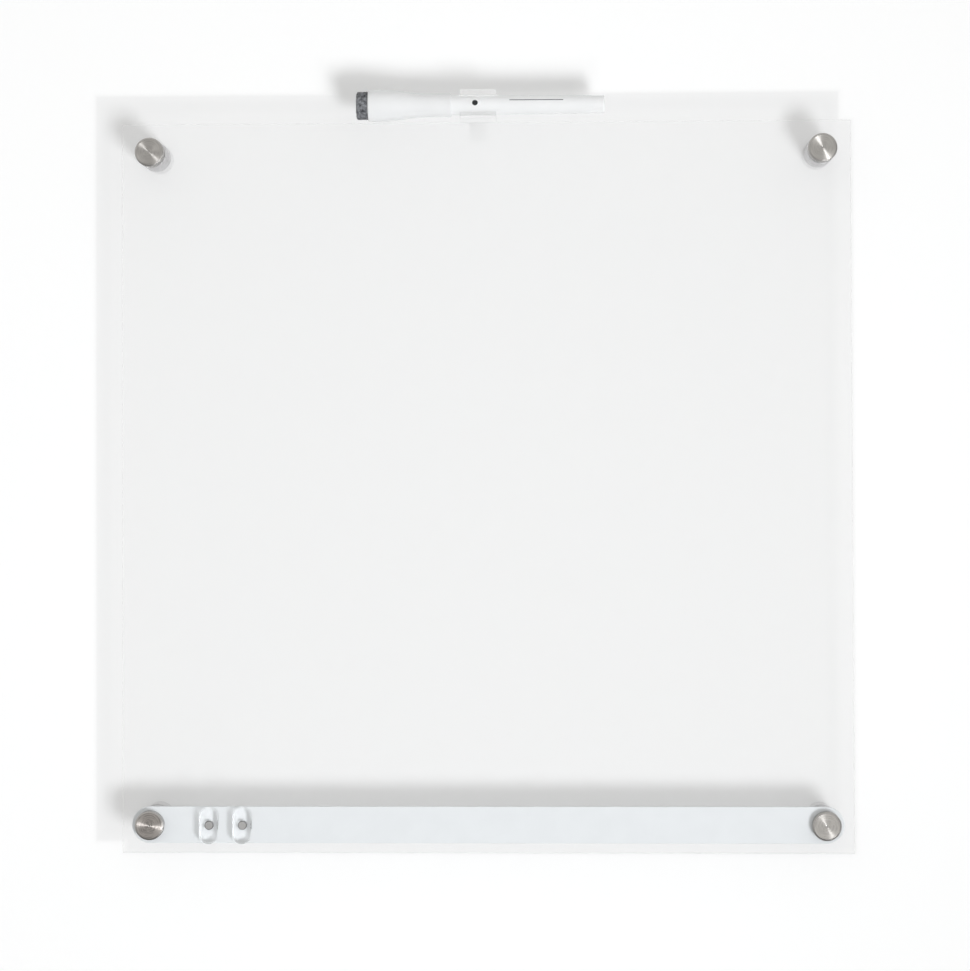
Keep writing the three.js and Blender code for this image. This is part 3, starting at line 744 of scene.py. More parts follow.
def turned(name, profile, segments, place):
    """A mesh turned about its own axis. place puts a radius, an angle and a length along into the frame."""
    closed = profile[0][0] > 0 or profile[-1][0] > 0
    points = softened(profile, closed)
    mesh = bmesh.new()
    chart = mesh.loops.layers.uv.new(TURNED_MAP)
    rings = []
    lengths = [0.0]
    for i, point in enumerate(points):
        if i:
            lengths.append(lengths[-1] + (point - points[i - 1]).length)
        on_axis = point.x < ON_AXIS
        angles = [0.0] if on_axis else [step / segments * math.tau for step in range(segments)]
        rings.append([mesh.verts.new(place(point.x, angle, point.y)) for angle in angles])
    spans = list(zip(range(len(rings) - 1), range(1, len(rings))))
    if closed:
        spans.append((len(rings) - 1, 0))
        lengths.append(lengths[-1] + (points[0] - points[-1]).length)
    for first, second in spans:
        for step in range(segments):
            around = (step, step + 1)
            corners = [(first, around[0]), (first, around[1]), (second, around[1]), (second, around[0])]
            verts, marks = [], []
            for ring, turn in corners:
                vert = rings[ring][turn % len(rings[ring])]
                if vert in verts:
                    continue
                verts.append(vert)
                along = lengths[first + 1] if ring == second else lengths[first]
                marks.append((turn / segments, along))
            if len(verts) < 3:
                continue
            face = mesh.faces.new(verts)
            for loop, mark in zip(face.loops, marks):
                loop[chart].uv = mark
    return finished(name, mesh)


def finished(name, mesh):
    """A plain mesh: doubles merged, faces pointing out, smooth but for its sharp corners."""
    bmesh.ops.remove_doubles(mesh, verts=mesh.verts, dist=MERGE_WITHIN)
    bmesh.ops.recalc_face_normals(mesh, faces=mesh.faces)
    data = bpy.data.meshes.new(name)
    mesh.to_mesh(data)
    mesh.free()
    return smoothed(data)


def smoothed(data):
    data.shade_smooth()
    data.set_sharp_from_angle(angle=SMOOTH_ANGLE)
    return data


def about_y(x, z):
    """Turned about a line that runs from the room into the wall."""
    return lambda radius, angle, along: (x + radius * math.cos(angle), along, z + radius * math.sin(angle))


def about_x(y, z):
    """Turned about a line that runs along the board."""
    return lambda radius, angle, along: (along, y + radius * math.cos(angle), z + radius * math.sin(angle))


print("corners over", round(math.degrees(SMOOTH_ANGLE)), "degrees stay sharp")

# %% [markdown]
# ## Putting a piece in its place
# Every piece goes through the same few steps. Its solid in the frame is measured, its mesh is made, its faces
# get their finishes, and it is shown on the body that carries it, in place of that solid.

# %% Placing


def measured(node):
    """The box of a piece turned about a line through the wall, that line's X and Z, and its radius."""
    low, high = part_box(node)
    return low, high, (low.x + high.x) / 2, (low.z + high.z) / 2, (high.x - low.x) / 2


def plain_mesh(holder, *helpers):
    """The mesh that an object's curve or modifiers make. The object and its helpers are used up."""
    bpy.context.view_layer.update()
    evaluated = holder.evaluated_get(bpy.context.evaluated_depsgraph_get())
    made = bpy.data.meshes.new_from_object(evaluated)
    for used in (holder, *helpers):
        bpy.data.objects.remove(used)
    return made


def paint(data, finishes, pick):
    """Adds the finishes, and gives each face the one whose number pick returns."""
    for finish in finishes:
        data.materials.append(finish)
    for polygon in data.polygons:
        polygon.material_index = int(pick(polygon))


def show(name, data, material, body, slot, *nodes):
    """Puts a finished mesh into the scene, on its body, in place of the solids that it stands for."""
    piece = put(name, data)
    if not data.materials:
        data.materials.append(material)
    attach(piece, body)
    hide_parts(*nodes)
    return piece


print("placing helpers ready")

# %% [markdown]
# ## Screw threads
# A thread is one ridge that climbs round the shank. Modelling it turn by turn is slow, and a stack of rings
# isn't a thread. Geometry Nodes moves each point of a finely divided shank in or out by a wave that depends
# on both its height and its angle, so the wave climbs one pitch in each full turn.

# %% Thread tree


def geometry_tree(name, numbers, things):
    """A tree with named inputs. numbers maps a name to a default, and things maps a name to a socket kind."""
    tree = bpy.data.node_groups.new(name, "GeometryNodeTree")
    tree.interface.new_socket("Geometry", in_out="INPUT", socket_type="NodeSocketGeometry")
    for label, value in numbers.items():
        kind = "NodeSocketInt" if isinstance(value, int) else "NodeSocketFloat"
        tree.interface.new_socket(label, in_out="INPUT", socket_type=kind).default_value = value
    for label, kind in things.items():
        tree.interface.new_socket(label, in_out="INPUT", socket_type=kind)
    tree.interface.new_socket("Geometry", in_out="OUTPUT", socket_type="NodeSocketGeometry")
    return tree, add(tree, "NodeGroupInput").outputs


def run_tree(tree, data, **values):
    """The plain mesh that a tree makes of a mesh."""
    holder = put(data.name, data)
    modifier = holder.modifiers.new(tree.name, "NODES")
    modifier.node_group = tree
    named = {item.name: item.identifier for item in tree.interface.items_tree if item.in_out == "INPUT"}
    for label, value in values.items():
        modifier[named[label]] = value
    made = plain_mesh(holder)
    made.name = data.name
    return made


def end_tree(tree, geometry, material):
    real = add(tree, "GeometryNodeRealizeInstances", {"Geometry": geometry})
    painted = add(tree, "GeometryNodeSetMaterial", {"Geometry": real.outputs[0], "Material": material})
    add(tree, "NodeGroupOutput", {0: painted.outputs[0]})


def make_thread_tree():
    numbers = {"Pitch": 0.001, "Depth": 0.0004, "Start": 0.0, "End": 0.01}
    numbers.update({"Axis X": 0.0, "Axis Z": 0.0, "Core": 0.001})
    tree, given = geometry_tree("screw_thread", numbers, {"Material": "NodeSocketMaterial"})
    part = split(tree, add(tree, "GeometryNodeInputPosition").outputs[0])
    across = minus(tree, part["X"], given["Axis X"])
    up = minus(tree, part["Z"], given["Axis Z"])
    turn = math_of(tree, "DIVIDE", math_of(tree, "ARCTAN2", up, across), math.tau)
    climb = plus(tree, math_of(tree, "DIVIDE", part["Y"], given["Pitch"]), turn)
    wave = times(tree, math_of(tree, "PINGPONG", climb, 0.5), 2.0)
    from_start = minus(tree, part["Y"], given["Start"])
    from_end = minus(tree, given["End"], part["Y"])
    ends = (from_start, from_end)
    fades = [math_of(tree, "DIVIDE", distance, given["Pitch"], clamp=True) for distance in ends]
    radius = hypotenuse(tree, across, up)
    mask = times(tree, *fades, math_of(tree, "GREATER_THAN", radius, given["Core"]))
    cut_depth = times(tree, wave, given["Depth"], mask)
    inward = math_of(tree, "DIVIDE", cut_depth, math_of(tree, "MAXIMUM", radius, 1e-6))
    moved = {"X": across, "Z": up}
    moved = {axis: times(tree, length, inward, -1.0) for axis, length in moved.items()}
    offset = add(tree, "ShaderNodeCombineXYZ", moved).outputs[0]
    cut = add(tree, "GeometryNodeSetPosition", {"Geometry": given["Geometry"], "Offset": offset})
    end_tree(tree, cut.outputs[0], given["Material"])
    return tree


THREAD = make_thread_tree()
RINGS_IN_A_PITCH = 8


def threaded(data, material, x, z, start, end, pitch, depth, core):
    """data with a thread between two places along its axis. What is inside the core stays as it is."""
    values = {"Axis X": x, "Axis Z": z, "Start": start, "End": end}
    values.update({"Pitch": pitch, "Depth": depth, "Core": core})
    return run_tree(THREAD, data, Material=material, **values)


def shank(radius, start, end, pitch):
    """Profile points of a plain shank, close enough together to carry a thread."""
    count = max(2, round(abs(end - start) / pitch * RINGS_IN_A_PITCH))
    return [(radius, start + (end - start) * step / count) for step in range(count + 1)]


print("thread tree has", len(THREAD.nodes), "nodes")

# %% [markdown]
# ## Standoff caps
# A cap is a turned disc with a brushed face, a shallow satin bevel and a threaded stud behind it. The tiny
# dimple in the middle is where the lathe's tool came off, and the brushing pinches to a dark point there.

# %% Caps
CAP_THICKNESS = 4.5 * MM
CAP_BEVEL_WIDTH, CAP_BEVEL_DEPTH = 0.85 * MM, 0.35 * MM
DIMPLE_RADIUS, DIMPLE_DEPTH = 0.6 * MM, 0.3 * MM
STUD_RADIUS, STUD_PITCH, STUD_DEPTH = 3.9 * MM, 1.25 * MM, 0.62 * MM
STUD_LEAD, STUD_CORE = STUD_RADIUS * 0.2, STUD_RADIUS * 0.7
EDGE_BREAK = 0.08 * MM
TURNED_SEGMENTS = 96


def off_axis(polygon, x, z):
    return math.hypot(polygon.center.x - x, polygon.center.z - z)


def make_cap(corner):
    node = f"standoff_cap_{corner}"
    low, high, x, z, radius = measured(node)
    face, seat, tip = low.y, low.y + CAP_THICKNESS, high.y
    flat_radius = radius - CAP_BEVEL_WIDTH
    profile = [
        (0, face + DIMPLE_DEPTH),
        (DIMPLE_RADIUS, face, EDGE_BREAK / 2),
        (flat_radius, face, EDGE_BREAK),
        (radius, face + CAP_BEVEL_DEPTH, EDGE_BREAK * 2),
        (radius, seat, EDGE_BREAK * 2),
        (STUD_RADIUS, seat),
        *shank(STUD_RADIUS, seat + EDGE_BREAK, tip - STUD_LEAD, STUD_PITCH),
        (STUD_RADIUS - STUD_LEAD, tip, EDGE_BREAK),
        (0, tip),
    ]
    data = turned(node, profile, TURNED_SEGMENTS, about_y(x, z))
    thread = (seat + STUD_PITCH, tip, STUD_PITCH, STUD_DEPTH, STUD_CORE)
    data = threaded(data, CAP_FACES[corner], x, z, *thread)

    def finish_number(polygon):
        """The face keeps its brushed finish, its bevel and dimple are satin, and the rest is polished."""
        if polygon.center.y < face + EDGE_BREAK / 4 and off_axis(polygon, x, z) < flat_radius:
            return 0
        return 2 if polygon.center.y < face + CAP_BEVEL_DEPTH else 1

    paint(data, (CAP_EDGE, CAP_BEVEL), finish_number)
    show(f"cap_{corner}_dressed", smoothed(data), CAP_EDGE, f"cap_{corner}", "brushed_steel", node)
    return len(data.polygons)


print("cap faces", [make_cap(corner) for corner in CORNERS])

# %% [markdown]
# ## Standoff barrels
# The barrel is a tube with a floor. The wall screw's head sits on the floor inside it, and the wall plug's
# collar fits the recess in its foot. It is seen through the clear panel, so its outside is fully finished.

# %% Barrels
BORE_RADIUS, BORE_MOUTH = 4.05 * MM, 0.5 * MM
SCREW_HOLE_RADIUS = 2.1 * MM
FOOT_RECESS_RADIUS, FOOT_RECESS_DEPTH = 4.5 * MM, 1.5 * MM
BARREL_FLOOR, BARREL_BREAK = 1.5 * MM, 0.35 * MM


def make_barrel(corner):
    node = f"standoff_barrel_{corner}"
    low, high, x, z, radius = measured(node)
    front, foot = low.y, high.y
    recess = foot - FOOT_RECESS_DEPTH
    floor = recess - BARREL_FLOOR
    profile = [
        (SCREW_HOLE_RADIUS, recess, EDGE_BREAK),
        (FOOT_RECESS_RADIUS, recess),
        (FOOT_RECESS_RADIUS, foot, EDGE_BREAK),
        (radius, foot, BARREL_BREAK),
        (radius, front, BARREL_BREAK),
        (BORE_RADIUS + BORE_MOUTH, front, EDGE_BREAK),
        (BORE_RADIUS, front + BORE_MOUTH, EDGE_BREAK),
        (BORE_RADIUS, floor),
        (SCREW_HOLE_RADIUS, floor, EDGE_BREAK),
    ]
    data = turned(node, profile, TURNED_SEGMENTS, about_y(x, z))
    show(f"barrel_{corner}_dressed", data, BARREL_STEEL, "board", "brushed_steel", node)
    return len(data.polygons)


print("barrel faces", [make_barrel(corner) for corner in CORNERS])

# %% [markdown]
# ## Washers
# A soft washer on each side of the panel keeps metal off the acrylic. It is pressed flat, so its rim
# bulges a little and its edges are round.

# %% Washers
WASHER_HOLE_RADIUS = 4.6 * MM
WASHER_ROUND_SHARE = 0.45
WASHER_SEGMENTS = 64


def make_washer(side, corner):
    node = f"{side}_washer_{corner}"
    low, high, x, z, outer = measured(node)
    soft = (high.y - low.y) * WASHER_ROUND_SHARE
    outline = ((WASHER_HOLE_RADIUS, low.y), (outer, low.y), (outer, high.y), (WASHER_HOLE_RADIUS, high.y))
    data = turned(node, [(*point, soft) for point in outline], WASHER_SEGMENTS, about_y(x, z))
    show(f"{side}_washer_{corner}_dressed", data, VINYL_CLEAR, "board", "clear_vinyl", node)
    return len(data.polygons)


for side in ("rear", "front"):
    print(side, "washer faces", [make_washer(side, corner) for corner in CORNERS])

# %% [markdown]
# ## Cutting shapes with a tool
# The cross in a screw's head and the split in a wall plug are cuts. A Boolean modifier takes one closed
# shape out of another. The result is read back as a plain mesh, so no modifier is left on the piece.

# %% Cutting


def box_cutter(name, centre, size):
    mesh = bmesh.new()
    bmesh.ops.create_cube(mesh, size=1, matrix=Matrix.Translation(centre) @ Matrix.Diagonal((*size, 1)))
    return finished(name, mesh)


def combined(data, others, operation):
    """data with each other mesh taken out of it or joined to it."""
    holder = put(data.name, data)
    helpers = [put(other.name, other) for other in others]
    for helper in helpers:
        modifier = holder.modifiers.new(helper.name, "BOOLEAN")
        modifier.operation = operation
        modifier.solver = "EXACT"
        modifier.object = helper
    made = plain_mesh(holder, *helpers)
    made.name = data.name
    return smoothed(made)


def cross_cut(data, centre, span, depth, width):
    """data with two crossed slots taken out of it, one level and one upright."""
    sizes = ((span, depth, width), (width, depth, span))
    cutters = [box_cutter(f"slot_{i}", centre, size) for i, size in enumerate(sizes)]
    return combined(data, cutters, "DIFFERENCE")


print("cutting helpers ready")

# %% [markdown]
# ## Wall screws and plugs
# These hang the board, and only a view from behind shows them. The plug's barbs grip the wall, and its split
# tip spreads as the screw goes in. The screw has a coarse thread and a pan head with a cross recess.

# %% Wall fixings
HEAD_HEIGHT = 2.4 * MM
HEAD_CROWN_SHARE, HEAD_SIDE_SHARE, HEAD_ROUND_SHARE = 0.6, 0.5, 0.4
SHANK_RADIUS, SCREW_TIP = 1.75 * MM, 5 * MM
TIP_RADIUS_SHARE, TIP_STEP_SHARE, THREAD_END_SHARE = 0.62, 0.5, 0.6
SCREW_PITCH, SCREW_DEPTH, SCREW_CORE = 1.5 * MM, 0.55 * MM, SHANK_RADIUS * 0.9
RECESS_ARM, RECESS_WIDTH, RECESS_DEPTH = 3.6 * MM, 0.9 * MM, 1.3 * MM
COLLAR_THICKNESS = 0.9 * MM
PLUG_RADIUS, PLUG_BORE = 3.1 * MM, 2.05 * MM
PLUG_BARBS, BARB_DEPTH, PLUG_END_SHARE = 4, 0.45 * MM, 1.4
SLOT_WIDTH, SLOT_LENGTH = 0.8 * MM, 13 * MM
FIXING_SEGMENTS = 48


def make_screw(corner):
    node = f"wall_screw_{corner}"
    low, high, x, z, head_radius = measured(node)
    top, under, tip = low.y, low.y + HEAD_HEIGHT, high.y
    head_round = HEAD_HEIGHT * HEAD_ROUND_SHARE
    profile = [
        (0, top),
        (head_radius * HEAD_CROWN_SHARE, top, head_round),
        (head_radius, top + HEAD_HEIGHT * HEAD_SIDE_SHARE, head_round),
        (head_radius, under, EDGE_BREAK),
        (SHANK_RADIUS, under),
        *shank(SHANK_RADIUS, under + EDGE_BREAK, tip - SCREW_TIP, SCREW_PITCH),
        (SHANK_RADIUS * TIP_RADIUS_SHARE, tip - SCREW_TIP * TIP_STEP_SHARE),
        (0, tip),
    ]
    data = turned(node, profile, FIXING_SEGMENTS, about_y(x, z))
    thread_ends = (under + SCREW_PITCH * 2, tip - SCREW_TIP * THREAD_END_SHARE)
    data = threaded(data, SCREW_ZINC, x, z, *thread_ends, SCREW_PITCH, SCREW_DEPTH, SCREW_CORE)
    centre = (x, top + RECESS_DEPTH / 2 - MM, z)
    data = cross_cut(data, centre, RECESS_ARM, RECESS_DEPTH + 2 * MM, RECESS_WIDTH)
    show(f"screw_{corner}_dressed", data, SCREW_ZINC, "board", "zinc_steel", node)
    return len(data.polygons)


def make_plug(corner):
    node = f"wall_anchor_{corner}"
    low, high, x, z, collar_radius = measured(node)
    wall, end = low.y + COLLAR_THICKNESS, high.y
    barb_pitch = (end - wall) / (PLUG_BARBS + 1)
    profile = [(PLUG_BORE, low.y), (collar_radius, low.y, EDGE_BREAK * 2), (collar_radius, wall, EDGE_BREAK)]
    profile.append((PLUG_RADIUS, wall))
    for barb in range(1, PLUG_BARBS + 1):
        here = wall + barb * barb_pitch
        profile.append((PLUG_RADIUS - BARB_DEPTH, here, EDGE_BREAK))
        profile.append((PLUG_RADIUS, here + EDGE_BREAK, EDGE_BREAK))
    profile.append((PLUG_RADIUS - BARB_DEPTH * PLUG_END_SHARE, end, BARB_DEPTH / 2))
    profile.append((PLUG_BORE, end, EDGE_BREAK))
    data = turned(node, profile, FIXING_SEGMENTS, about_y(x, z))
    centre = (x, end - SLOT_LENGTH / 2 + MM / 2, z)
    data = cross_cut(data, centre, 4 * PLUG_RADIUS, SLOT_LENGTH + MM, SLOT_WIDTH)
    show(f"plug_{corner}_dressed", data, PLUG_NYLON, "board", "nylon", node)
    return len(data.polygons)


print("screw faces", [make_screw(corner) for corner in CORNERS])
print("plug faces", [make_plug(corner) for corner in CORNERS])

# %% [markdown]
# ## Sheet pieces
# The panel and the bar are cut from sheet. A flat curve with holes, given a thickness and a small round edge,
# is the quickest exact way to make one: the outline stays true, and the bevel is drawn inside it. The curve
# is made a mesh before it is stood up in its place.

# %% Sheet cutting
HOLE_POINTS = 72
FLAT_FACE = 0.999
SHEET_EDGE_STEPS = 2


def circle_points(x, z, radius, count, start=0.0, sweep=math.tau):
    steps = [start + sweep * step / count for step in range(count)]
    return [(x + radius * math.cos(angle), z + radius * math.sin(angle)) for angle in steps]


def sheet_mesh(name, outlines, rear, thickness, edge):
    """Outlines are loops of (x, z). The sheet reaches from its rear face towards the room."""
    curve = bpy.data.curves.new(name, "CURVE")
    curve.dimensions = "2D"
    curve.fill_mode = "BOTH"
    curve.extrude = thickness / 2 - edge
    curve.bevel_depth = edge
    curve.bevel_resolution = SHEET_EDGE_STEPS
    curve.offset = -edge
    for outline in outlines:
        spline = curve.splines.new("POLY")
        spline.points.add(len(outline) - 1)
        for point, (x, z) in zip(spline.points, outline):
            point.co = (x, z, 0, 1)
        spline.use_cyclic_u = True
    flat = plain_mesh(put(name, curve))
    flat.transform(Matrix.Translation((0, rear - thickness / 2, 0)) @ Matrix.Rotation(QUARTER_TURN, 4, "X"))
    mesh = bmesh.new()
    mesh.from_mesh(flat)
    bpy.data.meshes.remove(flat)
    bmesh.ops.remove_doubles(mesh, verts=mesh.verts, dist=SHEET_MERGE_WITHIN)
    data = finished(name, mesh)
    for polygon in data.polygons:
        polygon.use_smooth = abs(polygon.normal.y) < FLAT_FACE
    return data


print("sheet helpers ready")

# %% Panel
PANEL_EDGE, PANEL_CORNER = 0.2 * MM, 0.6 * MM
CORNER_POINTS = 6
STUD_HOLE_RADIUS = 4.6 * MM


def rectangle_points(low, high, corner):
    points = []
    for quarter, (x, z) in enumerate(((high.x, high.z), (low.x, high.z), (low.x, low.z), (high.x, low.z))):
        centre = (x - math.copysign(corner, x), z - math.copysign(corner, z))
        points += circle_points(*centre, corner, CORNER_POINTS, quarter * QUARTER_TURN, QUARTER_TURN)
    return points


stud_axes = [measured(f"standoff_cap_{corner}")[2:4] for corner in CORNERS]
stud_holes = [circle_points(x, z, STUD_HOLE_RADIUS, HOLE_POINTS) for x, z in stud_axes]
panel_low, panel_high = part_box("acrylic_panel")
panel_outlines = [rectangle_points(panel_low, panel_high, PANEL_CORNER), *stud_holes]
panel_data = sheet_mesh("panel", panel_outlines, panel_high.y, panel_high.y - panel_low.y, PANEL_EDGE)
paint(panel_data, (PANEL_CLEAR, PANEL_CUT), lambda polygon: abs(polygon.normal.y) < FLAT_FACE)
show("panel_dressed", panel_data, PANEL_CLEAR, "board", "clear_acrylic", "acrylic_panel")
print("panel faces", len(panel_data.polygons))

# %% [markdown]
# ## Magnetic bar
# The bar is sheet steel with full-round ends and a white coat. The coat rounds the punched edge, and its
# rounded edges are painted a little darker all round, in broken patches: painted shade along the edges.

# %% Bar
BAR_EDGE = 0.25 * MM
END_POINTS = 48


def make_bar():
    low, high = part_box("magnetic_bar")
    middle, radius = (low.z + high.z) / 2, (high.z - low.z) / 2
    left, right = low.x + radius, high.x - radius
    outline = circle_points(right, middle, radius, END_POINTS, -QUARTER_TURN, math.pi)
    outline += [(right, middle + radius)]
    outline += circle_points(left, middle, radius, END_POINTS, QUARTER_TURN, math.pi)
    outline += [(left, middle - radius)]
    lower_holes = [hole for hole, (_, z) in zip(stud_holes, stud_axes) if z < 0]
    data = sheet_mesh("bar", [outline, *lower_holes], high.y, high.y - low.y, BAR_EDGE)
    show("bar_dressed", data, BAR_COAT, "board", "coated_steel", "magnetic_bar")
    return len(data.polygons)


print("bar faces", make_bar())

# %% [markdown]
# ## Magnets
# A magnet is a clear cast pill with a metal disc in a pocket at its back. Its outline grows from a round
# pocket to an upright pill, so one skin of rings makes all of it: each ring is a pill whose straight part
# is a share of the full one, and a share of nothing is a circle. The disc's plating is dull, and its rolled
# edge is painted dark: a painted reflection of the dark pocket round it. The pill bends light in behind the
# disc, so the disc casts no shadow of its own.

# %% Magnets
MAGNET_ROUND, MAGNET_BACK_BREAK = 1.3 * MM, 0.2 * MM
POCKET_RADIUS, POCKET_DEPTH = 2.45 * MM, 2.3 * MM
FRONT_CROWN, CROWN_SHARES = 0.08 * MM, (0.75, 0.5, 0.25)
PILL_POINTS, RIM_RINGS = 64, 8
DISC_ROUND = 0.35 * MM
MAGNETS = (1, 2)


def pill_ring(x, z, radius, straight, y):
    ring = []
    for step in range(PILL_POINTS):
        angle = (step + 0.5) / PILL_POINTS * math.tau
        lift = straight if math.sin(angle) > 0 else -straight
        ring.append((x + radius * math.cos(angle), y, z + radius * math.sin(angle) + lift))
    return ring


def make_magnet(number):
    node = f"magnet_body_{number}"
    low, high, x, z, radius = measured(node)
    straight = (high.z - low.z) / 2 - radius
    back, front = high.y, low.y
    rings = [(POCKET_RADIUS, 0, back - POCKET_DEPTH), (POCKET_RADIUS, 0, back)]
    rings += [(radius - MAGNET_BACK_BREAK, straight, back), (radius, straight, back - MAGNET_BACK_BREAK)]
    rim_start = front + FRONT_CROWN
    for step in range(RIM_RINGS + 1):
        angle = step / RIM_RINGS * QUARTER_TURN
        inset = MAGNET_ROUND * (1 - math.cos(angle))
        rings.append((radius - inset, straight, rim_start + MAGNET_ROUND * (1 - math.sin(angle))))
    inner = radius - MAGNET_ROUND
    for share in CROWN_SHARES:
        rings.append((inner * share, straight * share, front + FRONT_CROWN * share**2))
    mesh = bmesh.new()
    made = [[mesh.verts.new(point) for point in pill_ring(x, z, *ring)] for ring in rings]
    steps = [(step, (step + 1) % PILL_POINTS) for step in range(PILL_POINTS)]
    for first, second in zip(made, made[1:]):
        for step, after in steps:
            mesh.faces.new((first[step], first[after], second[after], second[step]))
    for ring, y in ((made[0], back - POCKET_DEPTH), (made[-1], front)):
        pole = mesh.verts.new((x, y, z))
        for step, after in steps:
            mesh.faces.new((ring[step], ring[after], pole))
    data = finished(node, mesh)
    show(f"magnet_{number}_dressed", data, CAST_CLEAR, f"magnet_{number}", "clear_acrylic", node)
    return len(data.polygons)


def make_disc(number):
    node = f"magnet_disc_{number}"
    low, high, x, z, radius = measured(node)
    profile = [(0, low.y), (radius, low.y, DISC_ROUND), (radius, high.y, DISC_ROUND), (0, high.y)]
    data = turned(node, profile, WASHER_SEGMENTS, about_y(x, z))
    # The rolled edge gets the dark finish, a painted reflection of the dark pocket.
    paint(data, (DISC_NICKEL, DISC_EDGE_PAINTED_SHADE), lambda polygon: off_axis(polygon, x, z) > radius - DISC_ROUND)
    disc = show(f"magnet_disc_{number}_dressed", data, DISC_NICKEL, f"magnet_{number}", "nickel", node)
    disc.visible_shadow = False
    return len(data.polygons)


print("magnet faces", [make_magnet(number) for number in MAGNETS])
print("disc faces", [make_disc(number) for number in MAGNETS])

# %% [markdown]
# ## Marker
# The marker is a stack of turned plastic pieces on one axis. Its mouth is the plane where the cap meets the
# barrel: the cap and the nib lie to the left of it, and the tail to the right.

# %% Marker sizes
MARKER_SEGMENTS = 112
BARREL_TAPER = 0.45 * MM
SHELL_WALL, SHELL_FIT = 1.1 * MM, 0.1 * MM
NIB_RADIUS, NIB_ROOT = 1.9 * MM, 5 * MM


def lengthwise(node):
    """Where a turned piece of the marker starts and ends along the board, and its widest radius."""
    low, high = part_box(node)
    return low.x, high.x, (high.z - low.z) / 2


def marker_piece(node, profile, material, slot="white_shell", body="marker"):
    data = turned(node, profile, MARKER_SEGMENTS, marker_axis)
    show(f"{node}_dressed", data, material, body, slot, node)
    return len(data.polygons)


marker_low, marker_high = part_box("marker_barrel")
marker_y, marker_z = (marker_low.y + marker_high.y) / 2, (marker_low.z + marker_high.z) / 2
marker_axis = about_x(marker_y, marker_z)
mouth, barrel_end, barrel_front_radius = lengthwise("marker_barrel")
barrel_rear_radius = barrel_front_radius - BARREL_TAPER
shell_bore = barrel_rear_radius - SHELL_WALL
insert_radius = shell_bore - SHELL_FIT
nib_hole = NIB_RADIUS + SHELL_FIT
print("barrel is", round((barrel_end - mouth) / MM, 1), "mm long")

# %% [markdown]
# ## Print on the barrel
# A dot tells the ink's colour, and a plain line runs behind it. Print has a crisp edge but no thickness, so
# it is a mask in the barrel's material. It is drawn in lengths along the barrel and round it, as a printing
# roller lays it down, so it bends with the shell.

# %% Print
DOT_PLACE, DOT_RADIUS = (-5.0 * MM, 0.7 * MM), 1.5 * MM
LINE_FROM, LINE_TO, LINE_HEIGHT, LINE_HALF = 13 * MM, 41 * MM, 2.2 * MM, 0.22 * MM
PRINT_SOFTNESS = 0.05 * MM


def dot_and_line(tree, place):
    part = split(tree, place)
    outward = minus(tree, marker_y, part["Y"])
    angle = math_of(tree, "ARCTAN2", minus(tree, part["Z"], marker_z), outward)
    around = times(tree, angle, barrel_front_radius)
    along_dot = minus(tree, part["X"], DOT_PLACE[0])
    above_dot = minus(tree, around, DOT_PLACE[1])
    away = hypotenuse(tree, along_dot, above_dot)
    dot = spread(tree, away, DOT_RADIUS + PRINT_SOFTNESS, DOT_RADIUS - PRINT_SOFTNESS)
    half_length = (LINE_TO - LINE_FROM) / 2
    line_length = (part["X"], LINE_FROM + half_length, half_length)
    past = []
    for distance, middle, half in (line_length, (around, LINE_HEIGHT, LINE_HALF)):
        from_middle = math_of(tree, "ABSOLUTE", minus(tree, distance, middle))
        past.append(minus(tree, from_middle, half))
    line = spread(tree, math_of(tree, "MAXIMUM", *past), PRINT_SOFTNESS, -PRINT_SOFTNESS)
    return math_of(tree, "MAXIMUM", dot, line)


BARREL_PRINTED = coating("marker_shell_printed", BARREL_PAINTED_LIGHTER_WHITE, 0.2, 500.0, 0.04, printed=dot_and_line)
TAIL_WHITE = coating("marker_tail", BARREL_PAINTED_LIGHTER_WHITE, 0.2, 500.0, 0.04)
print("dot is", DOT_RADIUS * 2 / MM, "mm across")

# %% Barrel and end plug
PLUG_RECESS_RADIUS, PLUG_RECESS_DEPTH = 2.8 * MM, 1.2 * MM
PLUG_ROUND = 0.6 * MM
barrel_profile = [
    (shell_bore, mouth),
    (barrel_front_radius, mouth, EDGE_BREAK),
    (barrel_rear_radius, barrel_end, EDGE_BREAK),
    (shell_bore, barrel_end),
]
print("barrel faces", marker_piece("marker_barrel", barrel_profile, BARREL_PRINTED))

plug_start, plug_end, plug_radius = lengthwise("marker_end_plug")
plug_profile = [
    (0, plug_start),
    (insert_radius, plug_start, EDGE_BREAK),
    (insert_radius, barrel_end),
    (plug_radius, barrel_end, EDGE_BREAK),
    (plug_radius, plug_end, PLUG_ROUND),
    (PLUG_RECESS_RADIUS, plug_end, EDGE_BREAK * 2),
    (PLUG_RECESS_RADIUS, plug_end - PLUG_RECESS_DEPTH, EDGE_BREAK),
    (0, plug_end - PLUG_RECESS_DEPTH),
]
print("end plug faces", marker_piece("marker_end_plug", plug_profile, TAIL_WHITE))

# %% Section, nib and reservoir
SECTION_SEAT, SECTION_SEAT_STEP = 9 * MM, 0.3 * MM
NOSE_WALL = 0.8 * MM
NIB_BULLET, NIB_STEPS = 2.4 * MM, 10
section_start, section_end, _ = lengthwise("marker_section")
seat_radius = barrel_front_radius - SECTION_SEAT_STEP
section_profile = [
    (nib_hole, section_start, EDGE_BREAK),
    (nib_hole + NOSE_WALL, section_start, EDGE_BREAK * 2),
    (seat_radius, mouth - SECTION_SEAT, MM),
    (seat_radius, mouth),
    (insert_radius, mouth),
    (insert_radius, section_end),
    (nib_hole, section_end),
]
print("section faces", marker_piece("marker_section", section_profile, SHELL_WHITE))

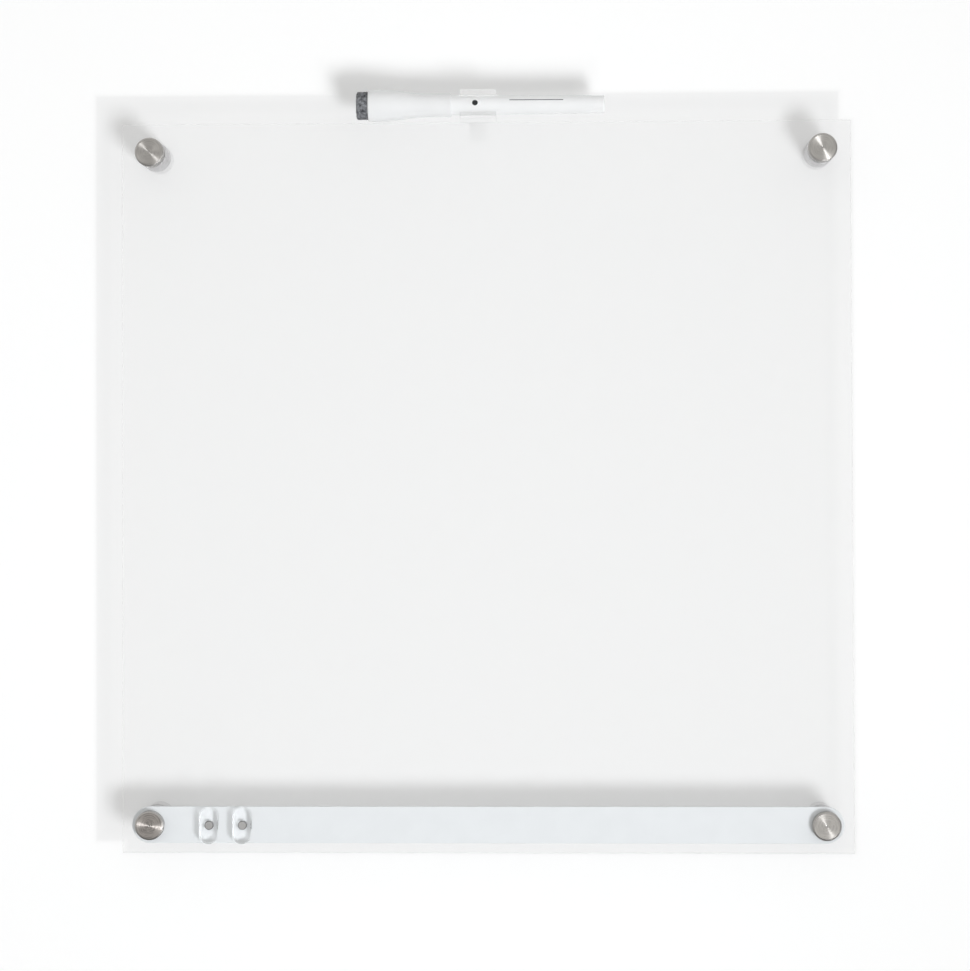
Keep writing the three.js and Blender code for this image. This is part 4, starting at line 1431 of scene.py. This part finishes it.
nib_start, nib_end, _ = lengthwise("marker_nib")
nib_profile = []
for step in range(NIB_STEPS + 1):
    angle = step / NIB_STEPS * QUARTER_TURN
    nib_profile.append((NIB_RADIUS * math.sin(angle), nib_start + NIB_BULLET * (1 - math.cos(angle))))
nib_profile += [(NIB_RADIUS, nib_end), (0, nib_end)]
print("nib faces", marker_piece("marker_nib", nib_profile, NIB_FIBRE, "ink_fibre"))

reservoir_start, reservoir_end, reservoir_radius = lengthwise("ink_reservoir")
reservoir_profile = [
    (0, reservoir_start + NIB_ROOT),
    (nib_hole, reservoir_start + NIB_ROOT),
    (nib_hole, reservoir_start),
    (reservoir_radius, reservoir_start, EDGE_BREAK),
    (reservoir_radius, reservoir_end, EDGE_BREAK),
    (0, reservoir_end),
]
print("reservoir faces", marker_piece("ink_reservoir", reservoir_profile, NIB_FIBRE, "ink_fibre"))

# %% [markdown]
# ## Cap and eraser
# The cap grows smoothly towards the eraser. A cosine gives the flare: it leaves and meets the straight parts
# without a corner. The felt's stem sits in a socket in the cap's end.

# %% Marker cap
CAP_BORE, CAP_MOUTH_WALL = 5.05 * MM, 1.1 * MM
CAP_CHAMBER = 36 * MM
CAP_END_ROUND = 0.7 * MM
FLARE_START_SHARE, FLARE_END_SHARE = 0.14, 0.72
FLARE_STEPS = 24
FELT_STEM_STEP, FELT_STEM_LENGTH = 0.8 * MM, 3.2 * MM
cap_start, cap_end, cap_end_radius = lengthwise("marker_cap")
felt_start, felt_end, felt_radius = lengthwise("eraser_felt")
cap_mouth_radius = CAP_BORE + CAP_MOUTH_WALL
felt_stem = felt_radius - FELT_STEM_STEP


def flare_points():
    length = cap_end - cap_start
    start, end = cap_start + length * FLARE_START_SHARE, cap_start + length * FLARE_END_SHARE
    points = []
    for step in range(FLARE_STEPS + 1):
        share = step / FLARE_STEPS
        ease = (1 - math.cos(share * math.pi)) / 2
        radius = cap_end_radius + (cap_mouth_radius - cap_end_radius) * ease
        points.append((radius, start + (end - start) * share))
    return points


cap_profile = [
    (0, cap_start + FELT_STEM_LENGTH),
    (felt_stem + SHELL_FIT, cap_start + FELT_STEM_LENGTH),
    (felt_stem + SHELL_FIT, cap_start, EDGE_BREAK),
    (cap_end_radius, cap_start, CAP_END_ROUND),
    *flare_points(),
    (cap_mouth_radius, mouth, EDGE_BREAK * 3),
    (CAP_BORE, mouth, EDGE_BREAK),
    (CAP_BORE, mouth - CAP_CHAMBER),
    (0, mouth - CAP_CHAMBER),
]
print("marker cap faces", marker_piece("marker_cap", cap_profile, SHELL_WHITE, body="marker_cap"))
print("marker is", round((plug_end - felt_start) / MM, 1), "mm long")

# %% [markdown]
# ## Felt
# Pressed felt isn't smooth: loose fibres stand off it and catch the light as specks. Geometry Nodes scatters
# thousands of short fibres over the felt with a fixed seed, each leaning its own way. They are three-sided
# and have only a few faces each, because so many of them are needed.

# %% Felt
FIBRE_LENGTH, FIBRE_RADIUS = 0.45 * MM, 0.035 * MM
FIBRES_IN_A_SQUARE_METRE = 7.0e6
FIBRE_SEED, FIBRE_SIDES, FIBRE_LEAN = 7, 3, 0.9
FIBRE_STAND_SHARE = 0.55
FELT_ROUND = 1 * MM


def make_felt_tree():
    numbers = {"Density": FIBRES_IN_A_SQUARE_METRE, "Length": FIBRE_LENGTH, "Radius": FIBRE_RADIUS}
    numbers["Seed"] = FIBRE_SEED
    tree, given = geometry_tree("felt_fibres", numbers, {"Material": "NodeSocketMaterial"})
    inputs = {"Mesh": given["Geometry"], "Density": given["Density"], "Seed": given["Seed"]}
    points = add(tree, "GeometryNodeDistributePointsOnFaces", inputs).outputs
    inputs = {"Vertices": FIBRE_SIDES, "Radius Top": 0.0, "Radius Bottom": given["Radius"]}
    fibre = add(tree, "GeometryNodeMeshCone", {**inputs, "Depth": given["Length"]}, fill_type="NGON")
    inputs = {0: (-FIBRE_LEAN, -FIBRE_LEAN, 0), 1: (FIBRE_LEAN, FIBRE_LEAN, math.tau), "Seed": given["Seed"]}
    leaning = add(tree, "FunctionNodeRandomValue", inputs, data_type="FLOAT_VECTOR").outputs[0]
    inputs = {0: points["Rotation"], 1: leaning}
    rotated = add(tree, "FunctionNodeRotateRotation", inputs, rotation_space="LOCAL").outputs[0]
    inputs = {"Points": points["Points"], "Instance": fibre.outputs["Mesh"], "Rotation": rotated}
    placed = add(tree, "GeometryNodeInstanceOnPoints", inputs)
    joined = add(tree, "GeometryNodeJoinGeometry", {0: given["Geometry"]})
    tree.links.new(placed.outputs[0], joined.inputs[0])
    end_tree(tree, joined.outputs[0], given["Material"])
    return tree


inset = FIBRE_LENGTH * FIBRE_STAND_SHARE
felt_profile = [
    (0, felt_start + inset),
    (felt_radius - inset, felt_start + inset, FELT_ROUND),
    (felt_radius - inset, cap_start - EDGE_BREAK),
    (felt_stem - EDGE_BREAK, cap_start - EDGE_BREAK),
    (felt_stem - EDGE_BREAK, felt_end),
    (0, felt_end),
]
felt_body = turned("eraser_felt", felt_profile, MARKER_SEGMENTS, marker_axis)
felt_data = run_tree(make_felt_tree(), felt_body, Material=FELT_GREY)
show("eraser_felt_dressed", felt_data, FELT_GREY, "marker_cap", "felt", "eraser_felt")
print("felt faces", len(felt_data.polygons))

# %% [markdown]
# ## Clip
# The clip is one clear moulding: a ring that snaps round the marker, a foot, and two legs that pinch the
# panel's top edge. It is drawn as a section and given its width, as its mould would give it. The legs are
# narrower than the ring, so they are a second shape that is joined to the first. The ring's crest has a
# narrow flat towards the room, where the mould closed, and it catches the light above the marker. The
# clip's upper half has a weak painted glow, and its thin legs hardly show.

# %% Clip
CLIP_WALL, CLIP_RING_RADIUS = 2.5 * MM, 5.5 * MM
CLIP_OPENING, CLIP_SHOULDER = math.radians(50), math.radians(25)
CLIP_LEG_WIDTH, CLIP_LEG_THICKNESS = 9 * MM, 1.8 * MM
CLIP_SLOT_HALF = 1.65 * MM
CLIP_LEAD, CLIP_EDGE = 0.6 * MM, 0.3 * MM
CLIP_POINTS, LIP_POINTS = 40, 12
CLIP_FLAT_SHARE = 0.86


def section_mesh(name, outline, width, place):
    """A section in the plane across the panel's edge, given its width along the board."""
    data = sheet_mesh(name, [outline], width / 2, width, CLIP_EDGE)
    wallward, along, upward = Vector((0, 1, 0)), Vector((-1, 0, 0)), Vector((0, 0, 1))
    turn = Matrix((wallward, along, upward)).transposed().to_4x4()
    data.transform(Matrix.Translation(place) @ turn)
    return data


def make_clip():
    low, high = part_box("marker_clip")
    place = ((low.x + high.x) / 2, (panel_low.y + panel_high.y) / 2, panel_high.z)
    outer = CLIP_RING_RADIUS + CLIP_WALL
    axis = marker_z - panel_high.z
    foot = CLIP_SLOT_HALF + CLIP_LEG_THICKNESS
    lip = CLIP_WALL / 2
    lip_angle = math.pi - CLIP_OPENING
    lip_place = CLIP_RING_RADIUS + lip
    front_arc = lip_angle - QUARTER_TURN - CLIP_SHOULDER
    outline = circle_points(0, axis, outer, CLIP_POINTS, -lip_angle, front_arc)
    outline += [(-foot, 0), (foot, 0)]
    rear_start = CLIP_SHOULDER - QUARTER_TURN
    rear_arc = circle_points(0, axis, outer, CLIP_POINTS, rear_start, lip_angle - rear_start)
    flat_foot = outer * CLIP_FLAT_SHARE
    flat_place = -math.sqrt(outer**2 - flat_foot**2)
    over_crest = [point for point in rear_arc if point[0] > -lip]
    outline += [*over_crest, (flat_place, over_crest[-1][1])]
    outline += [point for point in rear_arc if point[0] < flat_place]
    lip_x, lip_z = lip_place * math.cos(lip_angle), lip_place * math.sin(lip_angle)
    outline += circle_points(lip_x, axis + lip_z, lip, LIP_POINTS, lip_angle, math.pi)
    outline += circle_points(0, axis, CLIP_RING_RADIUS, CLIP_POINTS, lip_angle, -2 * lip_angle)
    outline += circle_points(lip_x, axis - lip_z, lip, LIP_POINTS, math.pi - lip_angle, math.pi)
    ring = section_mesh("clip_ring", outline, high.x - low.x, place)
    root = axis - CLIP_RING_RADIUS - lip
    reach = low.z - panel_high.z
    legs = []
    for side in (-1, 1):
        inner, far = side * CLIP_SLOT_HALF, side * foot
        tip = [(far, reach), (inner + side * CLIP_LEAD, reach), (inner, reach + CLIP_LEAD)]
        leg = [(inner, root), (far, root), *tip]
        legs.append(section_mesh(f"clip_leg_{side}", leg[::-side], CLIP_LEG_WIDTH, place))
    data = combined(ring, legs, "UNION")

    def finish_number(polygon):
        """By height: the legs, then the ring's lower half, then its upper half."""
        height = polygon.center.z - panel_high.z
        return (height > 0) + (height > axis)

    paint(data, (CLIP_LEG, CLIP_CLEAR, CLIP_UPPER_PAINTED_GLOW), finish_number)
    show("marker_clip_dressed", data, CLIP_CLEAR, "clip", "clear_polycarbonate", "marker_clip")
    return len(data.polygons)


print("clip faces", make_clip())
